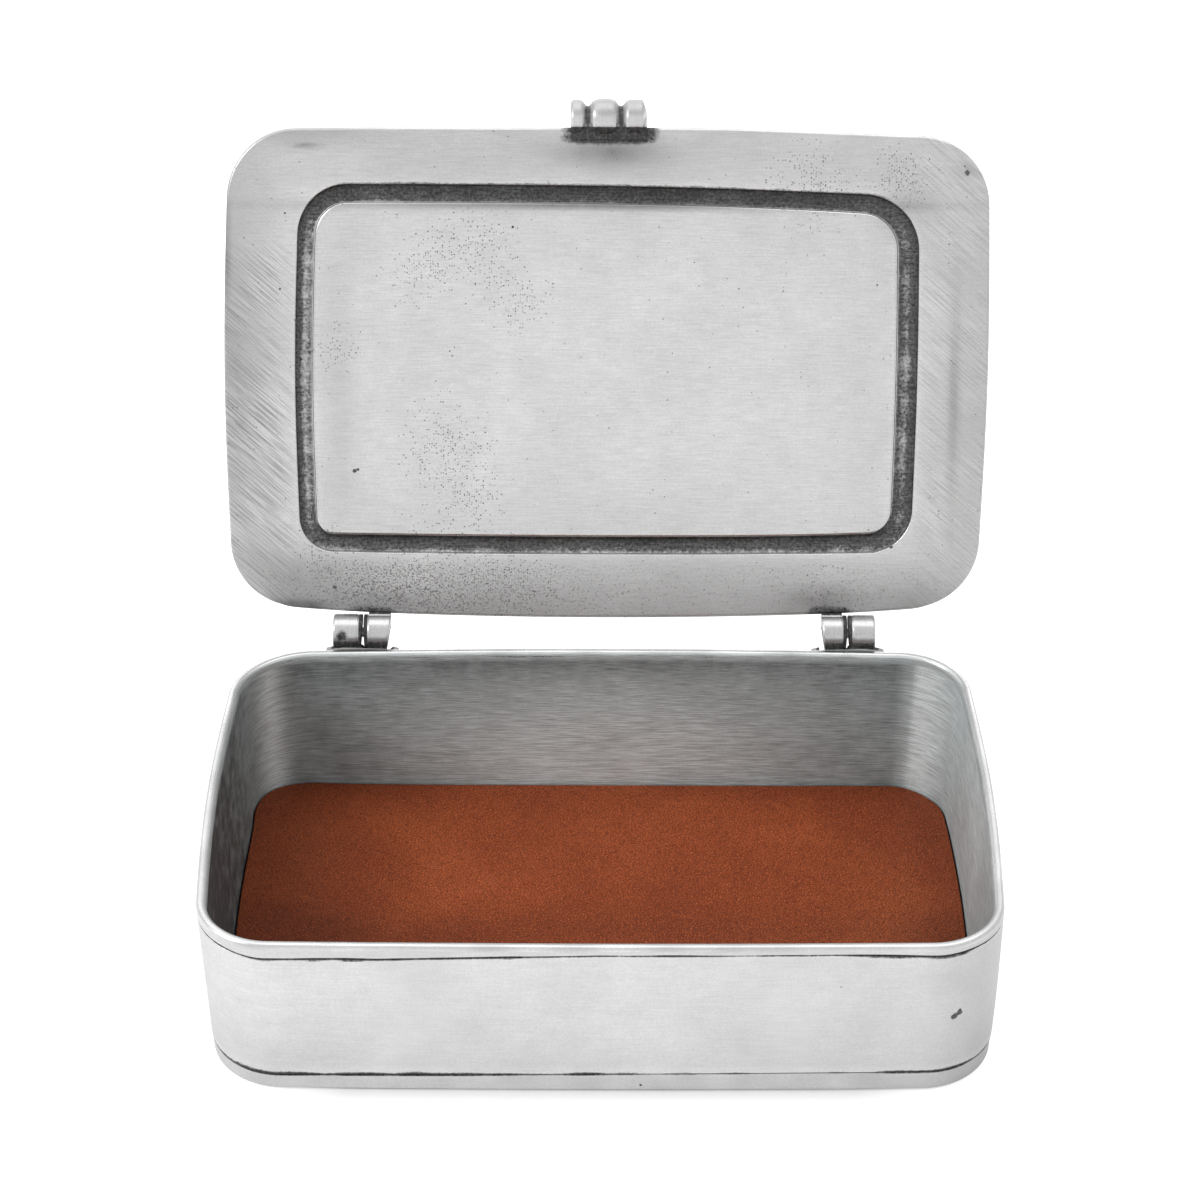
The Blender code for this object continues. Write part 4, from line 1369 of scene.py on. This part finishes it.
def join_shapes(name, shapes, holes, smoothing):
    """Join shapes, cut holes, remesh the result in small voxels and smooth it. The shapes are used up."""
    bpy.context.view_layer.update()
    work = bmesh.new()
    for shape in shapes:
        shape.data.transform(shape.matrix_world)
        work.from_mesh(shape.data)
    bmesh.ops.recalc_face_normals(work, faces=work.faces)
    mesh = bpy.data.meshes.new(name)
    work.to_mesh(mesh)
    work.free()
    piece = bpy.data.objects.new(name, mesh)
    bpy.context.scene.collection.objects.link(piece)
    voxels = piece.modifiers.new("voxels", "REMESH")
    voxels.mode = "VOXEL"
    voxels.voxel_size = voxel_size
    for hole in holes:
        cut = piece.modifiers.new("hole", "BOOLEAN")
        cut.operation = "DIFFERENCE"
        cut.object = hole
    soften = piece.modifiers.new("soften", "SMOOTH")
    soften.iterations = smoothing
    bpy.context.view_layer.update()
    final = bpy.data.meshes.new_from_object(piece.evaluated_get(bpy.context.evaluated_depsgraph_get()))
    final.name = name
    final.shade_smooth()
    piece.modifiers.clear()
    piece.data = final
    for used in [*shapes, *holes]:
        bpy.data.objects.remove(used, do_unlink=True)
    return piece


def mark_points(piece, **rules):
    """Store marks on a mesh. Each is one value, or a rule that turns the points into values."""
    points = np.array([vertex.co for vertex in piece.data.vertices])
    for name, rule in rules.items():
        values = np.broadcast_to(rule(points) if callable(rule) else rule, len(points))
        stored = piece.data.attributes.new(name, "FLOAT", "POINT")
        stored.data.foreach_set("value", np.clip(values, 0, 1).astype(np.float32))


print("voxels, mm:", round(voxel_size / MM, 2))

# %% [markdown]
# Each half of a hinge has a knuckle: a barrel with rounded ends, a little narrower on one side, with a
# small hub that fills most of the gap between the two. Film greys each barrel, and painted shade, as more
# film and black, darkens it below its axis; black gathers in the gap.

# %% Shape the knuckles
knuckle_radius = 4.1 * MM
knuckle_edge_round = 0.45 * MM
axle_core = 0.2 * MM
hub_radius = 3.95 * MM
hub_length = 0.88 * MM
knuckle_spans = {
    "left": ((-58 * MM, -52.45 * MM), (-50.55 * MM, -45.4 * MM)),
    "right": ((54.2 * MM, 59.2 * MM), (47.5 * MM, 52.3 * MM))
}
pin_hole = 1.4 * MM
hole_reach = 1 * MM
barrel_edge = 0.1 * MM
gap_dirt_reach = 0.2 * MM
# The black and the film on a barrel, from a height above its axis in millimetres: painted shade, darkest
# below the axis.
knuckle_shade_blacks = ((-0.5, 1), (0, 0.85), (0.35, 0.45), (0.75, 0))
knuckle_shade_films = ((-0.2, 1), (0.6, 0.7), (1.2, 0.36), (3.85, 0.25))


def knuckle_profile(left, right, hub_side):
    """Return a barrel's profile with rounded ends and a small hub on its side towards the gap."""
    start, finish = [(left, axle_core)], [(right, axle_core)]
    if hub_side < 0:
        hub_end = left - hub_length
        start = [(hub_end, axle_core), (hub_end, hub_radius), (left, hub_radius)]
    else:
        hub_end = right + hub_length
        finish = [(right, hub_radius), (hub_end, hub_radius), (hub_end, axle_core)]
    inset = knuckle_edge_round
    level = knuckle_radius - inset
    return [*start, *arc((left + inset, level), inset, 180, 90, some_steps),
            *arc((right - inset, level), inset, 90, 0, some_steps), *finish]


def taper_points(piece, gap_place, far_place, share, narrowing):
    """Narrow a knuckle towards one side by moving its far end in, by a rule for each point."""
    length = far_place - gap_place
    for vertex in piece.data.vertices:
        along = (vertex.co.x - gap_place) / length
        vertex.co.x -= share * length * along * narrowing(vertex.co)


def wall_y_at(x):
    """Return where the rear wall's outer face lies near the rim at a place along the width."""
    rear = box_plan[box_plan[:, 1] > 0]
    rear = rear[np.argsort(rear[:, 0])]
    swell = max(0, 1 - (2 * x / box_width) ** 2) ** 1.5
    return float(np.interp(x, rear[:, 0], rear[:, 1])) + rear_bulge * swell


def put_on_axis(piece):
    """Move a piece that was turned about X onto the hinge's axis."""
    piece.matrix_world = Matrix.Translation((0, hinge_axis.y, hinge_axis.z))
    return piece


hinge_pewter = make_pewter("hinge_pewter", "X", roughness=0.36, tone=0.78)
print("hinge finish:", hinge_pewter.name)

# %% [markdown]
# The fixed half has a pad soldered behind the rear wall. The pad's top slopes off towards its ends, and a
# web joins it to the outboard knuckle.

# %% Shape the fixed halves
fixed_taper_share = 0.1
pad_height = 6 * MM
pad_foot_width = 17.6 * MM
pad_taper = 1 * MM
pad_end_drops = ((0, 0.8 * MM), (0.08, 0.45 * MM), (0.16, 0.22 * MM), (0.26, 0.07 * MM), (0.36, 0))
pad_thickness = 1.9 * MM
pad_bevel = 0.4 * MM
pad_foot_bevel = 0.6 * MM
pad_top_bevel = 0.3 * MM
pad_top_drop = 0.12 * MM
web_foot = 0.4 * MM
web_inset = 0.3 * MM
web_top_drop = 0.1 * MM
solder_gap = 0.1 * MM
running_gap = 0.25 * MM
barrel_foot_drop = 0.5 * MM
stain_inset, stain_height, stain_reach = 1.9 * MM, 1.4 * MM, 2.4 * MM
root_reach, root_half_length, root_fade = 0.5 * MM, 6.2 * MM, 1 * MM
root_out = 0.9 * MM


def build_hinge_seat(label, side):
    """The pad, the web and the fixed knuckle, as one casting."""
    (left, right), turning = knuckle_spans[label]
    outer, inner = (left, right) if side < 0 else (right, left)
    centre = (min(left, turning[0]) + max(right, turning[1])) / 2
    wall_y = wall_y_at(centre) + solder_gap
    face_y = wall_y + pad_thickness
    top = rim_height - pad_top_drop
    foot = rim_height - pad_height
    pad_section = (
        (wall_y, foot), (face_y - pad_bevel, foot), (face_y, foot + pad_foot_bevel),
        (face_y, top - pad_top_bevel), (face_y - pad_top_bevel, top), (wall_y, top)
    )
    half_width = pad_foot_width / 2 - pad_taper
    pad = prism("pad", pad_section, centre - half_width, centre + half_width, pad_taper, pad_end_drops)
    web_section = (
        (wall_y, foot + web_foot), (face_y, foot + web_foot),
        (hinge_axis.y, hinge_axis.z - knuckle_radius + web_inset), (hinge_axis.y, hinge_axis.z),
        (face_y, top - web_top_drop)
    )
    web = prism("web", web_section, left + web_inset, right - web_inset, web_inset)
    barrel = turned_bar("barrel", knuckle_profile(left, right, -side))
    taper_points(barrel, outer, inner, fixed_taper_share, lambda co: 0.5 - 0.5 * co.z / knuckle_radius)
    put_on_axis(barrel)
    hole_ends = ((left - hole_reach, pin_hole), (right + hole_reach, pin_hole))
    hole = put_on_axis(turned_bar("pin_hole", hole_ends, steps=32))
    room_start = inner - side * hub_length
    room_end = turning[0] - running_gap if side > 0 else turning[1] + running_gap
    reach = knuckle_radius + running_gap
    relief_ends = [(place, reach) for place in sorted((room_start, room_end))]
    relief = put_on_axis(turned_bar("relief", relief_ends, steps=96))
    seat = join_shapes("hinge_seat_" + label + "_cast", [pad, web, barrel], [hole, relief], 3)

    def on_barrel(points):
        apart = np.hypot(points[:, 1] - hinge_axis.y, points[:, 2] - hinge_axis.z)
        return (apart < knuckle_radius + barrel_edge) & (points[:, 2] > top - barrel_foot_drop)

    def dirt_and_shade(points):
        above = points[:, 2] - hinge_axis.z
        stain_x = outer - side * stain_inset
        stain = 0.95 - np.hypot(points[:, 0] - stain_x, above - stain_height) / stain_reach
        gap = ramp(side * (inner - points[:, 0]), -gap_dirt_reach / 2, gap_dirt_reach)
        # Painted shade: black on the barrel's lower side.
        black = by_stops(above / MM, knuckle_shade_blacks)
        root = 0.75 - np.abs(points[:, 2] - top) / root_reach
        root *= 1 - ramp(np.abs(points[:, 0] - centre), root_half_length, root_fade)
        root = np.clip(root, 0.15, 1) * (points[:, 1] > wall_y + root_out)
        return np.where(on_barrel(points), np.maximum.reduce((black, stain * (side < 0), gap)), root)

    def shade(points):
        film = by_stops((points[:, 2] - hinge_axis.z) / MM, knuckle_shade_films)
        return np.where(on_barrel(points), film, 0.7)

    mark_points(seat, patina=dirt_and_shade, film=shade, polish=on_barrel)
    return seat


print("hinge pads, mm high:", round(pad_height / MM, 1))

# %% [markdown]
# The turning half is soldered to the lid by a neck, and its heel meets the wall when the lid stands open.
# It is drawn shut, like the lid, and the lid's matrix opens it. Then both halves of each hinge are built.

# %% Shape the turning halves and build the hinges
turning_taper_share = 0.22
axis_behind_wall = hinge_axis.y - box_depth / 2
axis_above_rim = hinge_axis.z - rim_height
heel_height = 1.3 * MM
heel_gap = 0.25 * MM
heel_length_share = 0.8
neck_thickness = 2.2 * MM
neck_drop = 0.25 * MM
neck_overlap = 0.3 * MM
end_inset = 0.2 * MM


def build_lid_knuckle(label, side):
    """The turning knuckle with its neck and heel, drawn shut about the hinge axis."""
    _, (left, right) = knuckle_spans[label]
    gap_end, far_end = (left, right) if side < 0 else (right, left)
    barrel = turned_bar("barrel", knuckle_profile(left, right, side))
    taper_points(barrel, gap_end, far_end, turning_taper_share, lambda co: 0.5 + 0.5 * co.y / knuckle_radius)
    neck_z = (lid_inner_z + lid_outer_z - neck_thickness) / 2 - neck_drop
    neck_end = -axis_behind_wall - neck_overlap
    neck_top = neck_z + neck_thickness
    neck_section = ((neck_end, neck_z), (0, neck_z), (0, neck_top), (neck_end, neck_top))
    neck = prism("neck", neck_section, left + end_inset, right - end_inset)
    heel_top = -axis_above_rim - pad_top_drop
    heel_foot = heel_top - heel_height
    heel_front = wall_y_at((left + right) / 2) - hinge_axis.y + heel_gap
    cosine, sine = math.cos(open_angle), math.sin(open_angle)
    heel_section = [(y * cosine - z * sine, y * sine + z * cosine) for y, z in
                    ((heel_front, heel_foot), (0, heel_foot), (0, heel_top), (heel_front, heel_top))]
    heel_end = far_end - (far_end - gap_end) * turning_taper_share * heel_length_share
    narrow, wide = sorted((gap_end, heel_end))
    heel = prism("heel", heel_section, narrow + end_inset, wide - end_inset)
    hole = turned_bar("pin_hole", [(left - hole_reach, pin_hole), (right + hole_reach, pin_hole)], steps=32)
    knuckle = join_shapes("lid_knuckle_" + label + "_cast", [barrel, neck, heel], [hole], 3)

    def open_height(points):
        """The height above the axis in millimetres when the lid stands open."""
        return (points[:, 2] * cosine - points[:, 1] * sine) / MM

    def dirt_and_shade(points):
        apart = np.hypot(points[:, 1], points[:, 2])
        off_barrel = ramp(apart, knuckle_radius + barrel_edge / 2, web_inset)
        gap = ramp(side * (points[:, 0] - gap_end), -gap_dirt_reach / 2, gap_dirt_reach)
        # Black by height when the lid stands open is painted shade on the barrel's lower side.
        return np.maximum.reduce((off_barrel, by_stops(open_height(points), knuckle_shade_blacks), gap))

    def shade(points):
        return by_stops(open_height(points), knuckle_shade_films)

    mark_points(knuckle, patina=dirt_and_shade, film=shade, polish=1)
    knuckle.matrix_world = lid_place
    return knuckle


for side, label in ((-1, "left"), (1, "right")):
    dress(build_hinge_seat(label, side), hinge_pewter, "box", "pewter_polished", "hinge_seat_" + label)
    dress(build_lid_knuckle(label, side), hinge_pewter, "lid", "pewter_polished", "lid_knuckle_" + label)

# %% [markdown]
# ## Hinge pins and card
# The pins are plain steel wire, cut a little short of the knuckles' ends so that they sit in their bores.
# The knuckles here are a little longer and fuller than the measured ones, so the pins are turned anew to
# fit them. The card under the leather is hidden and its measured shape is right, so it only gets a finish:
# a fibrous grey brown.

# %% Make the pins and dress the card
pin_radius = 1.1 * MM
pin_recess = 0.8 * MM
pin_chamfer = 0.25 * MM
pin_core = 0.1 * MM
stain_waves = 900
fibre_waves = (300, 1400, 1400)
fibre_relief = 0.05 * MM
card_dark, card_light = (0.28, 0.22, 0.15, 1), (0.42, 0.35, 0.26, 1)


def make_wire():
    """Drawn steel wire, a little stained."""
    material, net, shader = new_finish("steel_wire")
    stain = net.noise(net.place(), stain_waves, detail=3)
    net.feed(shader, {
        "Base Color": net.grey(net.spread(stain, 0.3, 0.5)), "Metallic": 1,
        "Roughness": net.spread(stain, 0.25, 0.4)
    })
    return material


def make_card():
    """Fibrous card."""
    material, net, shader = new_finish("fibre_card")
    fibres = net.noise(net.stretch(net.place(), fibre_waves), detail=4)
    net.feed(shader, {
        "Base Color": net.mix(fibres, card_dark, card_light), "Roughness": 0.9,
        "Normal": net.relief((fibres, fibre_relief))
    })
    return material


def refinish(node, material):
    """Give a measured node a new finish."""
    piece = frame["nodes"][node]
    piece.data.materials.clear()
    piece.data.materials.append(material)
    print(node, "has", material.name)


def build_pin(label):
    """Turn a pin with bevelled ends, from one knuckle's outer end to the other's."""
    places = [place for span in knuckle_spans[label] for place in span]
    left, right = min(places) + pin_recess, max(places) - pin_recess
    neck = pin_radius - pin_chamfer
    profile = [(left, pin_core), (left, neck), (left + pin_chamfer, pin_radius)]
    profile += [(right - pin_chamfer, pin_radius), (right, neck), (right, pin_core)]
    return put_on_axis(turned_bar("hinge_wire_" + label, profile, steps=48))


wire = make_wire()
for label in knuckle_spans:
    dress(build_pin(label), wire, "box", "steel_pin", "hinge_pin_" + label)
refinish("liner_board", make_card())

# %% [markdown]
# ## Thumb piece
# A beaded barrel sits on the lid's front edge: three beads with sharp valleys between them, the middle one
# the fullest. It was turned by hand, so its two ends differ. It is turned about X from a profile of places,
# as shares of its length from the left, and radii, as shares of its radius. A slot takes the lid's edge,
# and a thin skirt of solder laps over the lid's inner face. Painted shade blackens the side that faces the
# lid, and black patina fills the valleys.

# %% Build the thumb piece
thumb_length = 16.1 * MM
thumb_radius = 3.9 * MM
thumb_side_shift = 0.1 * MM
thumb_above_lid_face = 1.7 * MM
thumb_wall_clearance = 0.35 * MM
thumb_shade_start = 1.75 * MM
thumb_shade_fade = 0.15 * MM
thumb_shine = 0.4
slot_clearance = 0.12 * MM
skirt_thickness = 0.24 * MM
skirt_root = 0.4 * MM
skirt_inset = 0.1 * MM
skirt_end_y = -106.3 * MM
thumb_profile_shares = (
    (0, 0.05), (0, 0.84), (0.012, 0.9), (0.035, 0.94), (0.07, 0.955), (0.11, 0.95), (0.135, 0.92),
    (0.16, 0.84), (0.185, 0.7), (0.2, 0.62), (0.22, 0.59), (0.24, 0.63), (0.265, 0.76), (0.29, 0.87),
    (0.315, 0.93), (0.355, 0.975), (0.4, 0.995), (0.44, 1), (0.48, 0.995), (0.53, 0.975), (0.565, 0.935),
    (0.59, 0.86), (0.61, 0.74), (0.635, 0.63), (0.655, 0.59), (0.675, 0.63), (0.7, 0.76), (0.725, 0.88),
    (0.75, 0.94), (0.785, 0.955), (0.9, 0.955), (0.93, 0.95), (0.942, 0.92), (0.972, 0.6), (0.99, 0.35),
    (1, 0.05)
)
thumb_valley_shares = (0.22, 0.655)
valley_reach_share = 0.07


def build_thumb_piece():
    """Turn the barrel, put it in its place on the shut lid and cut the slot for the lid's edge."""
    profile = [((along - 0.5) * thumb_length, share * thumb_radius) for along, share in thumb_profile_shares]
    barrel = turned_bar("thumb_barrel", profile, steps=96)
    half_chord = math.sqrt(thumb_radius ** 2 - (thumb_above_lid_face + lid_rim_gap) ** 2)
    middle_y = -hinge_axis.y - box_depth / 2 - thumb_wall_clearance - half_chord
    middle_x = lid_side_shift + thumb_side_shift - lid_skew_share * middle_y
    middle_z = lid_inner_z + thumb_above_lid_face
    barrel.matrix_world = Matrix.Translation((middle_x, middle_y, middle_z))
    slot_heights = (lid_inner_z - slot_clearance, lid_outer_z + slot_clearance)
    slot_rings = [ring(lid_outline, slot_clearance, height) for height in slot_heights]
    slot = skin("thumb_slot", hand_fit(slot_rings))
    skirt_z = lid_inner_z - skirt_thickness
    skirt_section = (
        (middle_y, skirt_z - skirt_root), (skirt_end_y, skirt_z), (skirt_end_y, lid_inner_z),
        (middle_y, lid_inner_z)
    )
    half_skirt = thumb_length / 2 - skirt_inset
    skirt = prism("thumb_skirt", skirt_section, middle_x - half_skirt, middle_x + half_skirt)
    thumb = join_shapes("thumb_barrel_cast", [barrel, skirt], [slot], 2)

    def shaded_side(points):
        """1 on the side that is turned to the lid's rear, which is painted black as shade."""
        return ramp(points[:, 1], middle_y + thumb_shade_start, thumb_shade_fade)

    def valley_dirt_and_shade(points):
        along = (points[:, 0] - middle_x) / thumb_length + 0.5
        valleys = [0.9 * (1 - np.abs(along - place) / valley_reach_share) for place in thumb_valley_shares]
        # Black patina in the valleys, and painted shade on the side turned to the lid.
        return np.maximum.reduce((*valleys, 0.97 * shaded_side(points)))

    def shade(points):
        """The grey film as painted shade: on the shaded side, and on the top, where it dims the lamp's
        highlight.
        """
        height = (middle_y - points[:, 1]) * math.sin(open_angle)
        height += (points[:, 2] - middle_z) * math.cos(open_angle)
        return 0.2 + 0.3 * shaded_side(points) + 0.3 * ramp(height / thumb_radius, 0.45, 0.15)

    mark_points(thumb, patina=valley_dirt_and_shade, film=shade, polish=thumb_shine)
    thumb.matrix_world = lid_place
    return thumb


dress(build_thumb_piece(), hinge_pewter, "lid", "pewter_polished", "thumb_piece")
